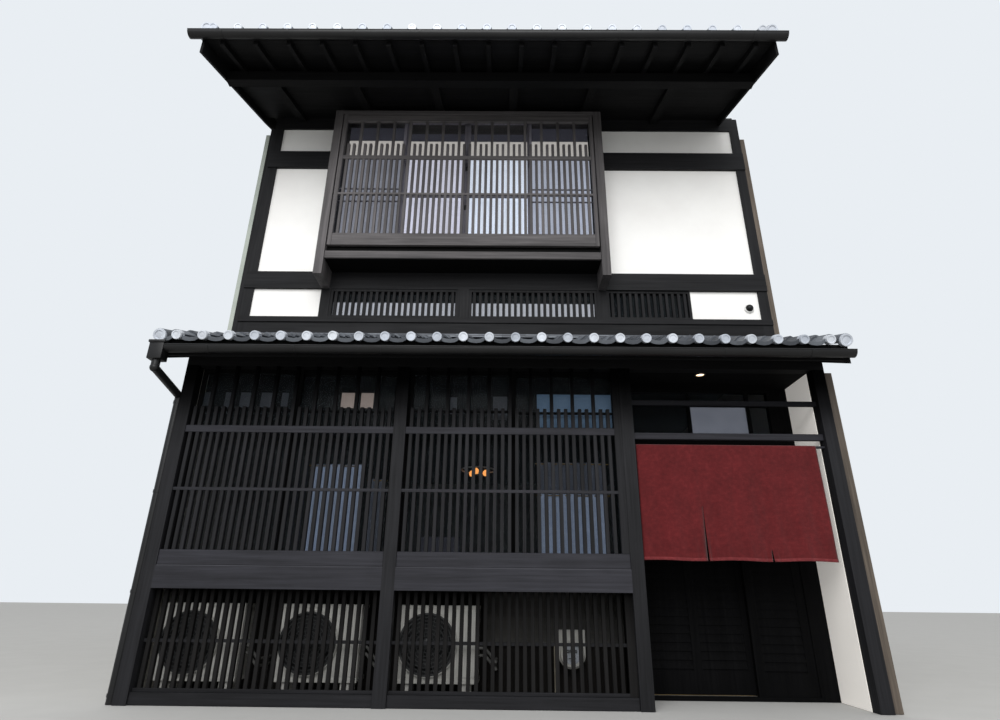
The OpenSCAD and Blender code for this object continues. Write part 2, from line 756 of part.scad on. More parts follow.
// Upper roof: two slopes, a ridge, rafters, a purlin on arms and a boarded ceiling under the eave
high_x0 = -x_out - high_side + barge_t;
high_x1 = x_out - high_short;
module upper_roof_front() color(tile)
    along_x(high_x0, high_x1, [[y_high_eave, high_under(y_high_eave)], [y_ridge, z_ridge],
        [y_ridge, z_ridge + high_roof_t], [y_high_eave, high_under(y_high_eave) + high_roof_t]]);
module upper_roof_rear() color(tile)
    along_x(high_x0, high_x1, [[y_ridge, z_ridge], [y_rear_eave, rear_under(y_rear_eave)],
        [y_rear_eave, rear_under(y_rear_eave) + high_roof_t], [y_ridge, z_ridge + high_roof_t]]);

ridge_half = 120;
ridge_slope = 20;
ridge_h = 190;
ridge_roll_r = 80;
module ridge() color(tile) {
    base = z_ridge + high_roof_t;
    along_x(high_x0, high_x1, [[y_ridge - ridge_half, base - high_pitch * ridge_half], [y_ridge, base],
        [y_ridge + ridge_half, base - high_pitch * ridge_half],
        [y_ridge + ridge_half - ridge_slope, base + ridge_h],
        [y_ridge - ridge_half + ridge_slope, base + ridge_h]]);
    translate([high_x0, y_ridge, base + ridge_h]) rotate([0, 90, 0])
        cylinder(r = ridge_roll_r, h = high_x1 - high_x0, $fn = 32);
}

high_rafter_edge = 275;
module upper_rafters() color(timber) {
    y0 = y_high_eave + rafter_end;
    y1 = y_upper + half_post;
    span = high_x1 - high_x0 - 2 * high_rafter_edge;
    count = floor(span / rafter_pitch);
    for (i = [0 : count]) {
        x = high_x0 + high_rafter_edge + i * span / count;
        along_x(x - rafter_w / 2, x + rafter_w / 2, [[y0, high_under(y0) - rafter_d],
            [y1, high_under(y1) - rafter_d], [y1, high_seat(y1)], [y0, high_seat(y0)]]);
    }
}

purlin_w = 105;
purlin_h = 110;
purlin_reach = 972;
purlin_y = y_upper_face - purlin_reach;
module eave_purlin() color(timber) {
    y0 = purlin_y - purlin_w / 2;
    y1 = purlin_y + purlin_w / 2;
    z0 = high_under(y0) - rafter_d - purlin_h;
    along_x(high_x0 - barge_t, high_x1 + barge_t, [[y0, z0], [y1, z0], [y1, high_under(y1) - rafter_d],
        [y0, high_under(y0) - rafter_d]]);
}

ceiling_t = 12;
ceiling_y0 = purlin_y + purlin_w / 2;
function ceiling_under(y) = high_under(y) - rafter_d - ceiling_t;
module eave_ceiling() color(timber)
    along_x(high_x0, high_x1, [[ceiling_y0, ceiling_under(ceiling_y0)],
        [y_upper_face, ceiling_under(y_upper_face)], [y_upper_face, ceiling_under(y_upper_face) + ceiling_t],
        [ceiling_y0, ceiling_under(ceiling_y0) + ceiling_t]]);

arm_w = 95;
arm_d = 60;
arm_count = 7;
arm_pitch = 870;
arm_edge = 105;
module eave_arms() color(timber) {
    for (i = [0 : arm_count - 1]) {
        x = high_x1 - arm_edge - i * arm_pitch;
        along_x(x - arm_w / 2, x + arm_w / 2, [[ceiling_y0, ceiling_under(ceiling_y0) - arm_d],
            [y_upper_face, ceiling_under(y_upper_face) - arm_d], [y_upper_face, ceiling_under(y_upper_face)],
            [ceiling_y0, ceiling_under(ceiling_y0)]]);
    }
}

// Flashing over the top of the right party wall, beside the roof
flashing_t = 20;
module wall_flashing() color(metal_black) {
    y0 = y_upper + half_post;
    y1 = y_rear_face;
    along_x(high_x1 + barge_t, x_out, [[y0, high_seat(y0)], [y_ridge, z_ridge - seat], [y1, rear_seat(y1)],
        [y1, rear_seat(y1) + flashing_t], [y_ridge, z_ridge - seat + flashing_t],
        [y0, high_seat(y0) + flashing_t]]);
}

// Space that the right wall and its beams fill under the roof line
module wall_space(x0, x1) {
    y1 = y_rear_face + rear_strip;
    along_x(x0, x1, [[y_upper_face, 0], [y1, 0], [y1, rear_under(y1)], [y_ridge, z_ridge],
        [y_upper_face, high_under(y_upper_face)]]);
}

high_barge_drop = 85;
module upper_barges() {
    for (x = [high_x0 - barge_t, high_x1])
        difference() {
            along_x(x, x + barge_t, [[y_high_eave, high_under(y_high_eave) - high_barge_drop],
                [y_ridge, z_ridge - high_barge_drop],
                [y_rear_eave, rear_under(y_rear_eave) - high_barge_drop],
                [y_rear_eave, rear_under(y_rear_eave) + high_roof_t - barge_top],
                [y_ridge, z_ridge + high_roof_t - barge_top],
                [y_high_eave, high_under(y_high_eave) + high_roof_t - barge_top]]);
            block([x - 1, purlin_y - purlin_w / 2, 0],
                [x + barge_t + 1, purlin_y + purlin_w / 2, high_under(purlin_y + purlin_w / 2) - rafter_d]);
            if (x > 0) wall_space(x - 1, x + barge_t + 1);
        }
}

// Gutters: half-round troughs with straps to the eaves
strap_pitch = 640;
strap_w = 20;
strap_t = 6;
module gutter(x0, x1, y_eave, side, z_top) {
    y = y_eave + side * gutter_r;
    translate([x0, y, z_top]) rotate([90, 0, 90]) linear_extrude(x1 - x0) difference() {
        circle(r = gutter_r, $fn = 40);
        circle(r = gutter_r - gutter_t, $fn = 40);
        translate([-2 * gutter_r, 0]) square([4 * gutter_r, 2 * gutter_r]);
    }
    for (x = [x0, x1 - gutter_t])
        translate([x, y, z_top]) rotate([90, 0, 90]) linear_extrude(gutter_t) difference() {
            circle(r = gutter_r, $fn = 40);
            translate([-2 * gutter_r, 0]) square([4 * gutter_r, 2 * gutter_r]);
        }
    count = floor((x1 - x0) / strap_pitch);
    for (i = [0.5 : 1 : count])
        block([x0 + i * (x1 - x0) / count - strap_w / 2, y - gutter_r + 1, z_top - 1 - strap_t],
            [x0 + i * (x1 - x0) / count + strap_w / 2, y + gutter_r, z_top - 1]);
}

low_gutter_drop = 10;
low_gutter_past = 50;
low_gutter_z = low_eave_z - low_gutter_drop;
low_gutter_x = low_x + low_gutter_past;
head_w = 120;
module lower_gutter()
    gutter(-low_gutter_x + head_w, low_gutter_x, y_low_eave, -1, low_gutter_z);

high_gutter_rise = 105;
high_gutter_past = 70;
high_gutter_short = 20;
high_gutter_x0 = high_x0 - barge_t - high_gutter_past;
high_gutter_x1 = high_x1 + barge_t + high_gutter_short;
module upper_gutters() {
    gutter(high_gutter_x0, high_gutter_x1, y_high_eave, -1, high_eave_z + high_gutter_rise);
    gutter(high_gutter_x0, high_gutter_x1, y_rear_eave, 1, rear_under(y_rear_eave) + high_gutter_rise);
}

// Rain head at the lower gutter's left end, and the downpipe beside the left post
head_h = 165;
head_x = -low_gutter_x + head_w / 2;
head_y = y_low_eave - gutter_r;
head_top = low_gutter_z;
head_z0 = head_top - head_h;
knee_drop = 65;
bend_drop = 165;
knee_z = head_z0 - knee_drop;
bend_z = head_z0 - bend_drop;
socket_wall = 4;
socket_r = pipe_r + socket_wall;
pipe_x = -x_out - socket_r;
module pipe_run(a, b) {
    d = b - a;
    length = norm(d);
    translate(a) rotate([0, acos(d[2] / length), atan2(d[1], d[0])])
        cylinder(r = pipe_r, h = length, $fn = 24);
}
module downpipe() color(metal_black) {
    block([head_x - head_w / 2, head_y - gutter_r, head_z0],
        [head_x + head_w / 2, head_y + gutter_r, head_top]);
    knee = [head_x, head_y, knee_z];
    foot = [pipe_x, 0, bend_z];
    pipe_run(knee, [head_x, head_y, head_z0 + 1]);
    pipe_run(foot, knee);
    pipe_run([pipe_x, 0, 0], foot);
    for (bend = [knee, foot]) translate(bend) sphere(r = socket_r, $fn = 24);
}

module window_glass() color(pane) {
    street_glass();
    bay_glass();
    transom_glass();
    vent_glass();
    rear_glass();
}
module barge_boards() color(timber) {
    lower_barges();
    upper_barges();
}
module gutters() color(metal_black) {
    lower_gutter();
    upper_gutters();
}

ground_sill();
street_posts();
waist_beam();
lattice_sill();
eave_beam();
street_lattices();
low_lattices();
street_windows();
window_glass();
window_head();
niche_back();
niche_top();
outdoor_units();
meter_box();
porch_side_wall();
porch_ceiling();
door_jambs();
threshold();
transom();
sliding_door();
fixed_screen();
door_rail();
entrance_rails();
curtain_pole();
curtain();
ground_floor();
upper_floor();
left_party_wall();
right_party_wall();
rear_wall_lower();
rear_wall_upper();
rear_timbers();
rear_windows();
upper_posts();
upper_beams();
face_rails();
upper_plaster();
low_vents();
bay_sides();
bay_top();
bay_floor();
bay_lattice();
bay_screens();
lower_roof();
lower_rafters();
upper_roof_front();
upper_roof_rear();
ridge();
upper_rafters();
eave_purlin();
eave_arms();
eave_ceiling();
wall_flashing();
barge_boards();
gutters();
downpipe();
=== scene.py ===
import math
import random

import bmesh
import bpy
from mathutils import Matrix, Vector


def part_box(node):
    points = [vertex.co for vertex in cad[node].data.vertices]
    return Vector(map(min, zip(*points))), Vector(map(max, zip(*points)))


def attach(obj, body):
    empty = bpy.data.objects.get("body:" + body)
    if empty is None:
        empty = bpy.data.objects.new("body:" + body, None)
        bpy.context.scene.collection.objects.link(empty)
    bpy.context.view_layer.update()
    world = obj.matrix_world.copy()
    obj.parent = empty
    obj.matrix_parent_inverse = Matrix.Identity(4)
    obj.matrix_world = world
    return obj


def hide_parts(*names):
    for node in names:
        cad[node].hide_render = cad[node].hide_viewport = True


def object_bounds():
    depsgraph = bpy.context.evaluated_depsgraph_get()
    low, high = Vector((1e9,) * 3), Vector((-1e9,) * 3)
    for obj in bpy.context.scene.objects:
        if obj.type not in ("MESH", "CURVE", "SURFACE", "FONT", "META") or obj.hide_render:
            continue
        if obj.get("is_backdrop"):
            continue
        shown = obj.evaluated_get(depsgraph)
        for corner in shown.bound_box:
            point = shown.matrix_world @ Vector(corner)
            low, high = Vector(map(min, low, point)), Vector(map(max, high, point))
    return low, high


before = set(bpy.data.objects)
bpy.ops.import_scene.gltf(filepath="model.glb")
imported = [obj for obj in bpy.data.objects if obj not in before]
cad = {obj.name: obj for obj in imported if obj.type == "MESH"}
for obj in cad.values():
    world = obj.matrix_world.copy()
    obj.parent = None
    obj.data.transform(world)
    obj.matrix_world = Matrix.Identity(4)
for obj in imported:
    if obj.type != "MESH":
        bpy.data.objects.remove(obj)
cadLow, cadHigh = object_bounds()
random.seed(27)
scene = bpy.context.scene
scene.view_settings.view_transform = "Standard"
print("frame loaded:", len(cad), "nodes")


def turned(degrees, axis):
    return Matrix.Rotation(math.radians(degrees), 4, axis)


# camera at the eye of the photograph, with its angles in degrees
eye = {"place": (0, -4.982, 0.765), "sensor": 36, "lens": 21.18, "pitch": 21.949, "roll": 0.6196, "yaw": -0.448}
cameraData = bpy.data.cameras.new("camera")
cameraData.sensor_width = eye["sensor"]
cameraData.lens = eye["lens"]
camera = bpy.data.objects.new("camera", cameraData)
scene.collection.objects.link(camera)
camera.matrix_world = (Matrix.Translation(eye["place"]) @ turned(-eye["yaw"], "Z")
                       @ turned(90 + eye["pitch"], "X") @ turned(eye["roll"], "Z"))
scene.camera = camera


def tint(*colour):  # a written colour as the linear one that shaders take
    return (*[c / 255 / 12.92 if c <= 10.31 else ((c / 255 + 0.055) / 1.055) ** 2.4 for c in colour], 1)


# plain studio: white sky light, one wide soft lamp, pale floor
studio = {"skyLight": 0.83, "backdrop": (233, 238, 243), "lampPower": 1370, "lampPlace": (-1.2, -11, 9.5),
          "lampSize": 9, "lampAim": (0, 1, 3.4), "floorColour": (186, 186, 184), "floorHalf": 45, "floorZ": -0.002}
world = bpy.data.worlds.new("studio")
scene.world = world
world.use_nodes = True
worldNodes, worldLinks = world.node_tree.nodes, world.node_tree.links
lightSky = worldNodes["Background"]
lightSky.inputs["Color"].default_value = (1, 1, 1, 1)
lightSky.inputs["Strength"].default_value = studio["skyLight"]
seenSky = worldNodes.new("ShaderNodeBackground")
seenSky.inputs["Color"].default_value = tint(*studio["backdrop"])
rays = worldNodes.new("ShaderNodeLightPath")
seen = rays.outputs["Is Camera Ray"]
for other in ("Is Glossy Ray", "Is Transmission Ray"):
    either = worldNodes.new("ShaderNodeMath")
    either.operation = "MAXIMUM"
    worldLinks.new(seen, either.inputs[0])
    worldLinks.new(rays.outputs[other], either.inputs[1])
    seen = either.outputs[0]
choose = worldNodes.new("ShaderNodeMixShader")
for source, socket in ((seen, 0), (lightSky.outputs[0], 1), (seenSky.outputs[0], 2)):
    worldLinks.new(source, choose.inputs[socket])
worldLinks.new(choose.outputs[0], worldNodes["World Output"].inputs["Surface"])

lampData = bpy.data.lights.new("softLamp", "AREA")
lampData.energy = studio["lampPower"]
lampData.size = studio["lampSize"]
lamp = bpy.data.objects.new("softLamp", lampData)
scene.collection.objects.link(lamp)
lampPlace = Vector(studio["lampPlace"])
lamp.matrix_world = (Matrix.Translation(lampPlace)
                     @ (Vector(studio["lampAim"]) - lampPlace).to_track_quat("-Z", "Y").to_matrix().to_4x4())


# materials
class Finish:  # short calls for the nodes that the finishes share
    def __init__(self, name, rough=0.6, specular=0.5, metallic=0.0, alpha=1.0):
        self.material = bpy.data.materials.new(name)
        self.material.use_nodes = True
        self.nodes = self.material.node_tree.nodes
        self.links = self.material.node_tree.links
        self.shader = self.nodes["Principled BSDF"]
        self.set("Roughness", rough)
        self.set("Specular IOR Level", specular)
        self.set("Metallic", metallic)
        self.set("Alpha", alpha)
        self.coordinates = self.nodes.new("ShaderNodeTexCoord")
        self.place = self.coordinates.outputs["Object"]

    def set(self, socket, value):
        self.feed(self.shader.inputs[socket], value)

    def feed(self, socket, value):
        if isinstance(value, bpy.types.NodeSocket):
            self.links.new(value, socket)
        else:
            socket.default_value = value

    def add(self, kind, feeds, **settings):
        made = self.nodes.new("ShaderNode" + kind)
        for key, value in settings.items():
            setattr(made, key, value)
        for socket, value in feeds.items():
            self.feed(made.inputs[socket], value)
        return made

    def noise(self, stretch=(1, 1, 1), detail=3, rough=0.5, place=None, shift=(0, 0, 0)):
        moved = self.add("Mapping", {"Vector": place or self.place, "Scale": stretch, "Location": shift})
        made = self.add("TexNoise", {"Vector": moved.outputs[0], "Scale": 1.0, "Detail": detail, "Roughness": rough})
        return made.outputs["Fac"]

    def ramp(self, value, stops):
        made = self.add("ValToRGB", {"Fac": value})
        points = made.color_ramp.elements
        while len(points) < len(stops):
            points.new(0.5)
        for point, (at, colour) in zip(points, stops):
            point.position = at
            point.color = colour if isinstance(colour, tuple) else (colour, colour, colour, 1)
        return made.outputs["Color"]

    def sum(self, operation, a, b):
        return self.add("Math", {0: a, 1: b}, operation=operation).outputs[0]

    def mix(self, share, a, b, blend="MIX"):
        made = self.add("Mix", {0: share, 6: a, 7: b}, data_type="RGBA", blend_type=blend)
        return made.outputs[2]

    def relief(self, height, strength, distance):
        made = self.add("Bump", {"Height": height, "Strength": strength, "Distance": distance})
        before = self.shader.inputs["Normal"]
        if before.is_linked:
            self.links.new(before.links[0].from_socket, made.inputs["Normal"])
        self.links.new(made.outputs[0], before)


wood = {"fibre": (1.6, 55), "member": (0.25, 9), "fade": 0.9, "worn": 1.28, "dust": 0.16, "dustLight": 1.55,
        "dustLift": 14, "relief": 0.0016, "height": 3.0}


def timberFinish(name, grain, dark, light, rough=0.66, relief=0.5, specular=0.32, paintedShade=None):
    made = Finish(name, specular=specular)
    fibre = made.noise([wood["fibre"][axis != grain] for axis in "XYZ"], detail=7, rough=0.68)
    member = made.noise([wood["member"][axis != grain] for axis in "XYZ"], detail=1, shift=(4.1, 2.7, 8.3))
    faded = made.noise((wood["fade"],) * 3, detail=4, rough=0.6, shift=(1.7, 5.2, 3.9))
    base = made.ramp(fibre, [(0.3, tint(*dark)), (0.62, tint(*light)), (0.8, tint(*[c * wood["worn"] for c in light]))])
    base = made.mix(1.0, base, made.ramp(member, [(0.3, 0.72), (0.7, 1.25)]), "MULTIPLY")
    dust = made.ramp(faded, [(0.48, 0.0), (0.78, wood["dust"])])
    base = made.mix(dust, base, tint(*[c * wood["dustLight"] + wood["dustLift"] for c in light]))
    if paintedShade:  # painted shade: timber under an eave or a beam is darkened by height, sheen and all
        height = made.add("SeparateXYZ", {0: made.place}).outputs["Z"]
        stops = [(z / wood["height"], part) for z, part in paintedShade]
        share = made.ramp(made.sum("DIVIDE", height, wood["height"]), stops)
        base = made.mix(1.0, base, share, "MULTIPLY")
        made.set("Specular IOR Level", made.sum("MULTIPLY", share, specular))
    made.set("Base Color", base)
    made.set("Roughness", made.ramp(fibre, [(0.25, rough + 0.12), (0.75, rough - 0.06)]))
    made.relief(fibre, relief, wood["relief"])
    return made.material


def plainFinish(name, low, high, rough=0.5, specular=0.4, metallic=0.0, grain=60, relief=0.15, patches=3.0,
                alpha=1.0, trowel=0.0, glow=0.0, shimmer=0.0):
    made = Finish(name, specular=specular, metallic=metallic, alpha=alpha)
    low, high = tint(*low), tint(*high)
    fine = made.noise((grain,) * 3, detail=5, rough=0.6)
    broad = made.noise((patches,) * 3, detail=4, rough=0.55, shift=(2.3, 7.1, 0.4))
    base = made.ramp(broad, [(0.32, low), (0.68, high)])
    made.set("Base Color", made.mix(0.12, base, made.ramp(fine, [(0.35, low), (0.65, high)])))
    made.set("Roughness", made.ramp(fine, [(0.3, rough - 0.06), (0.7, rough + 0.08)]))
    made.relief(fine, relief, 0.0008)
    if trowel:
        made.relief(made.noise((3.5, 3.5, 9), detail=3, shift=(9, 1, 4)), trowel, 0.003)
    if glow:  # a lamp's light; on a part that is no lamp, painted light for the daylight behind it or on it
        made.set("Emission Color", high)
        made.set("Emission Strength", glow)
    if shimmer:
        spots = made.ramp(made.noise((30, 30, 30)), [(0.3, high), (0.7, (1, 1, 1, 1))])
        made.set("Emission Color", made.mix(shimmer, high, spots))
    return made.material


def tileFinish(name, dark, middle, light):
    made = Finish(name, specular=0.5, metallic=0.2)
    tone = made.add("Attribute", {}, attribute_name="tone", attribute_type="GEOMETRY").outputs["Fac"]
    smoke = made.noise((7, 7, 7), detail=6, rough=0.62)
    base = made.ramp(tone, [(0.0, tint(*dark)), (0.5, tint(*middle)), (1.0, tint(*light))])
    base = made.mix(1.0, base, made.ramp(smoke, [(0.3, 0.72), (0.7, 1.12)]), "MULTIPLY")
    made.set("Base Color", base)
    made.set("Roughness", made.ramp(smoke, [(0.3, 0.46), (0.7, 0.62)]))
    made.relief(made.noise((220, 220, 220), detail=3), 0.2, 0.0008)
    made.relief(smoke, 0.25, 0.003)
    return made.material


def clothFinish(name, size, thread, dark, middle, light, slub, glow=0.0):
    # weave by the piece's own map, in threads that run across and along the cloth
    made = Finish(name, rough=0.88, specular=0.15)
    dark, middle, light = tint(*dark), tint(*middle), tint(*light)
    flat = made.add("Mapping", {"Vector": made.coordinates.outputs["UV"], "Scale": (*size, 1)}).outputs[0]
    weft = made.noise((14, 520, 1), detail=2, place=flat)
    warp = made.noise((520, 14, 1), detail=2, place=flat, shift=(3, 5, 0))
    cloudy = made.noise((slub, slub * 1.25, 1), detail=5, rough=0.66, place=flat)
    worn = made.noise((slub * 0.22, slub * 0.22, 1), detail=3, place=flat, shift=(7, 2, 0))
    threads = made.sum("MULTIPLY", made.sum("ADD", weft, warp), 0.5)
    base = made.ramp(cloudy, [(0.28, dark), (0.5, middle), (0.74, light)])
    base = made.mix(0.3, base, made.ramp(threads, [(0.36, dark), (0.64, light)]))
    base = made.mix(1.0, base, made.ramp(worn, [(0.3, 0.88), (0.7, 1.12)]), "MULTIPLY")
    made.set("Base Color", base)
    # painted light: the cloth glows in place of the daylight through it
    made.set("Emission Color", light)
    made.set("Emission Strength", glow)
    made.set("Sheen Weight", 0.15)
    made.set("Sheen Roughness", 0.5)
    waves = [made.add("TexWave", {"Vector": flat, "Scale": thread, "Distortion": 1.2, "Detail": 1.0},
                      bands_direction=way).outputs["Fac"] for way in "XY"]
    made.relief(made.sum("MULTIPLY", *waves), 0.35, 0.0006)
    made.relief(threads, 0.5, 0.0008)
    return made.material


# timber: painted shade by height under the eave and under the waist beam, as shares of its tone, then the coats
eaveShadeByHeight = [(1.9, 1.0), (2.14, 0.8), (2.34, 0.3), (2.55, 0.08)]
beamShadeByHeight = [(0.42, 1.0), (0.6, 0.7), (0.78, 0.3)]
upperCoat = {"dark": (15, 15, 17), "light": (24, 24, 26), "specular": 0.22}
bayCoat = {"dark": (61, 59, 60), "light": (86, 83, 84), "relief": 0.3}
# painted shade: the eave timbers are far darker than the rest of the timber
eaveShadeCoat = {"dark": (9, 9, 10), "light": (15, 15, 16), "specular": 0.12}
doorCoat = {"dark": (5, 5, 6), "light": (10, 10, 11), "specular": 0.06, "rough": 0.78}
grainUp = timberFinish("charredUpright", "Z", (19, 19, 21), (29, 29, 32), specular=0.22, paintedShade=eaveShadeByHeight)
grainAcross = timberFinish("charredLevel", "X", (29, 29, 33), (43, 43, 49), specular=0.26, paintedShade=eaveShadeByHeight)
# lighter coat for the waist beam's upper chamfer: a painted highlight
chamferHighlight = timberFinish("chamferHighlight", "X", (40, 40, 44), (58, 58, 63))
sashUp = timberFinish("sashUpright", "Z", (92, 90, 99), (120, 118, 128), relief=0.3)
lowUp = timberFinish("lowUpright", "Z", (15, 14, 14), (24, 23, 23), specular=0.15, paintedShade=beamShadeByHeight)
lowAcross = timberFinish("lowLevel", "X", (19, 19, 21), (30, 30, 33), specular=0.2, paintedShade=beamShadeByHeight)
upperUp = timberFinish("upperUpright", "Z", **upperCoat)
upperAcross = timberFinish("upperLevel", "X", **upperCoat)
eaveShadedAcross = timberFinish("eaveLevelShaded", "X", **eaveShadeCoat)
eaveShadedBack = timberFinish("eaveSlopedShaded", "Y", **eaveShadeCoat)
bayUp = timberFinish("bayUpright", "Z", **bayCoat)
bayAcross = timberFinish("bayLevel", "X", **bayCoat)
doorUp = timberFinish("doorUpright", "Z", **doorCoat)
doorAcross = timberFinish("doorLevel", "X", **doorCoat)
# near-black boards where a gap or a room lies in shade: painted shade
paintedShadeBoard = timberFinish("paintedShadeBoard", "X", (6, 6, 7), (11, 11, 11), specular=0.1)
brownBoards = timberFinish("brownBoards", "Z", (15, 13, 12), (26, 23, 21), specular=0.15)
greyBoards = timberFinish("greyBoards", "Z", (66, 59, 53), (98, 89, 80), rough=0.75)
felt = timberFinish("greyFelt", "X", (58, 57, 55), (72, 71, 69), rough=0.8)

# plaster, tile, metal and glass
plasterCoat = {"rough": 0.82, "specular": 0.2, "grain": 140, "relief": 0.18, "patches": 1.6, "trowel": 0.25}
glassCoat = {"rough": 0.1, "specular": 0.03, "grain": 6, "relief": 0.0}
whitePlaster = plainFinish("limePlaster", (241, 240, 238), (250, 250, 248), **plasterCoat)
wallMortar = plainFinish("wallMortar", (176, 173, 166), (198, 195, 188), **plasterCoat)
screedFinish = plainFinish("floorScreed", (142, 140, 135), (166, 164, 158), **plasterCoat)
floorPaint = plainFinish("studioFloor", studio["floorColour"], [c + 4 for c in studio["floorColour"]],
                         rough=0.85, specular=0.1, grain=8, relief=0.02)
smokedTile = tileFinish("smokedTile", (66, 70, 76), (86, 90, 97), (112, 117, 124))
# lighter copy of the tile for the round ends: a painted highlight where they catch the sky
tileEndHighlight = tileFinish("tileEndHighlight", (178, 185, 196), (200, 206, 216), (222, 227, 234))
blackMetal = plainFinish("blackMetal", (17, 17, 18), (25, 25, 26), rough=0.42, specular=0.3, grain=90, relief=0.06)
wornBrass = plainFinish("wornBrass", (120, 98, 58), (156, 130, 82), rough=0.4, metallic=0.9, grain=120)
casingFinish = plainFinish("paleCasing", (196, 195, 190), (212, 211, 206), rough=0.42, grain=200, relief=0.05)
grilleFinish = plainFinish("grilleGrey", (50, 51, 52), (66, 67, 68), rough=0.45, grain=150, relief=0.05)
fanDark = plainFinish("fanDark", (22, 23, 24), (34, 35, 37), grain=80)
paleTrim = plainFinish("paleTrim", (150, 158, 150), (172, 178, 170), rough=0.55, grain=70)
beigePipe = plainFinish("beigePipe", (176, 168, 150), (198, 190, 172), grain=90)
greyPipe = plainFinish("greyPipe", (92, 92, 90), (112, 112, 110), rough=0.55, grain=90)
whiteShell = plainFinish("whiteShell", (226, 226, 224), (238, 238, 236), rough=0.35, grain=200, relief=0.03)
paneGlass = plainFinish("paneGlass", (46, 52, 56), (52, 58, 62), alpha=0.2, **glassCoat)
dialGlass = plainFinish("dialGlass", (180, 186, 190), (186, 192, 196), alpha=0.3, **glassCoat)
warmLens = plainFinish("warmLens", (255, 206, 140), (255, 206, 140), rough=0.4, grain=40, glow=2.2, shimmer=0.5)

# paper, panels and plaster, most of them glowing with painted light in place of the daylight behind them or on them,
# and the room lamp's glowing bulbs
paperCoat = {"rough": 0.8, "grain": 90}
paperPanel = plainFinish("paperPanel", (196, 201, 212), (214, 218, 228), **paperCoat)
# sheets at the upper lights of the street windows: painted reflections in the glass
greyReflectionSheet = plainFinish("greyReflectionSheet", (72, 75, 84), (90, 94, 103), **paperCoat)
skyReflectionSheet = plainFinish("skyReflectionSheet", (96, 128, 162), (118, 148, 180), glow=0.12, **paperCoat)
warmReflectionSheet = plainFinish("warmReflectionSheet", (186, 170, 162), (208, 192, 184), glow=0.2, **paperCoat)
ventPaper = plainFinish("ventPaper", (206, 211, 222), (224, 228, 238), glow=0.36, **paperCoat)
bandPaper = plainFinish("bandPaper", (204, 200, 196), (220, 216, 211), glow=0.72, **paperCoat)
mistPaper = plainFinish("mistPaper", (96, 96, 112), (112, 112, 128), glow=0.12, **paperCoat)
transomPaper = plainFinish("transomPaper", (150, 156, 172), (170, 176, 192), glow=0.22, **paperCoat)
# the porch's side wall glows: painted light where daylight falls on it
porchPaintedLight = plainFinish("porchPaintedLight", (240, 236, 230), (250, 246, 240), glow=0.22, **paperCoat)
bulbGlow = plainFinish("bulbGlow", (196, 120, 60), (255, 170, 92), glow=1.5, **paperCoat)

for finish, names in (
        (grainUp, "street_posts street_lattices low_lattices"),
        (grainAcross, "ground_sill waist_beam lattice_sill entrance_rails curtain_pole"),
        (upperUp, "rear_timbers rear_windows upper_posts low_vents"),
        (upperAcross, "upper_beams face_rails"),
        (doorUp, "street_windows porch_side_wall door_jambs sliding_door fixed_screen"),
        (doorAcross, "window_head niche_top threshold transom porch_ceiling"),
        (eaveShadedAcross, "lower_roof upper_roof_front upper_roof_rear eave_purlin eave_ceiling eave_beam"),
        (eaveShadedBack, "lower_rafters upper_rafters eave_arms upper_floor barge_boards"),
        (bayUp, "bay_sides bay_lattice bay_screens"), (bayAcross, "bay_top bay_floor"),
        (brownBoards, "niche_back"), (whitePlaster, "upper_plaster rear_wall_lower rear_wall_upper"),
        (wallMortar, "left_party_wall right_party_wall"), (smokedTile, "ridge"),
        (blackMetal, "gutters downpipe wall_flashing"), (wornBrass, "door_rail"),
        (casingFinish, "outdoor_units meter_box"), (paneGlass, "window_glass"), (screedFinish, "ground_floor")):
    for name in names.split():
        cad[name].data.materials.clear()
        cad[name].data.materials.append(finish)
print("materials on the frame")


# shapes
def addBlock(bm, low, high, material=0, bevel=0.0, segments=2):
    low, high = Vector(low), Vector(high)
    place = Matrix.Translation((low + high) / 2) @ Matrix.Diagonal((*(high - low), 1))
    made = bmesh.ops.create_cube(bm, size=1, matrix=place)
    faces = list({face for vert in made["verts"] for face in vert.link_faces})
    for face in faces:
        face.material_index = material
    if bevel:
        edges = list({edge for face in faces for edge in face.edges})
        bmesh.ops.bevel(bm, geom=edges, offset=bevel, offset_type="OFFSET", segments=segments, profile=0.5,
                        affect="EDGES", material=-1, clamp_overlap=True)


def addRod(bm, start, end, radius, segments=12, material=0):
    start, end = Vector(start), Vector(end)
    along = end - start
    place = Matrix.Translation((start + end) / 2) @ along.to_track_quat("Z", "Y").to_matrix().to_4x4()
    made = bmesh.ops.create_cone(bm, cap_ends=True, segments=segments, radius1=radius, radius2=radius,
                                 depth=along.length, matrix=place)
    for face in {face for vert in made["verts"] for face in vert.link_faces}:
        face.material_index = material


def vertsOf(geom):
    return [item for item in geom if isinstance(item, bmesh.types.BMVert)]


def addOutline(bm, x0, x1, points):  # an outline of Y and Z, drawn out along X
    first = bm.faces.new([bm.verts.new((x0, y, z)) for y, z in points])
    verts = vertsOf(bmesh.ops.extrude_face_region(bm, geom=[first])["geom"])
    bmesh.ops.translate(bm, vec=(x1 - x0, 0, 0), verts=verts)
    bmesh.ops.recalc_face_normals(bm, faces=list({face for vert in verts for face in vert.link_faces} | {first}))


def addSloped(bm, xs, ys, under, over):  # a board between two sloping lines, each with its drop
    (low, lowDrop), (high, highDrop) = under, over
    addOutline(bm, *xs, [low(y, lowDrop) for y in ys] + [high(y, highDrop) for y in reversed(ys)])


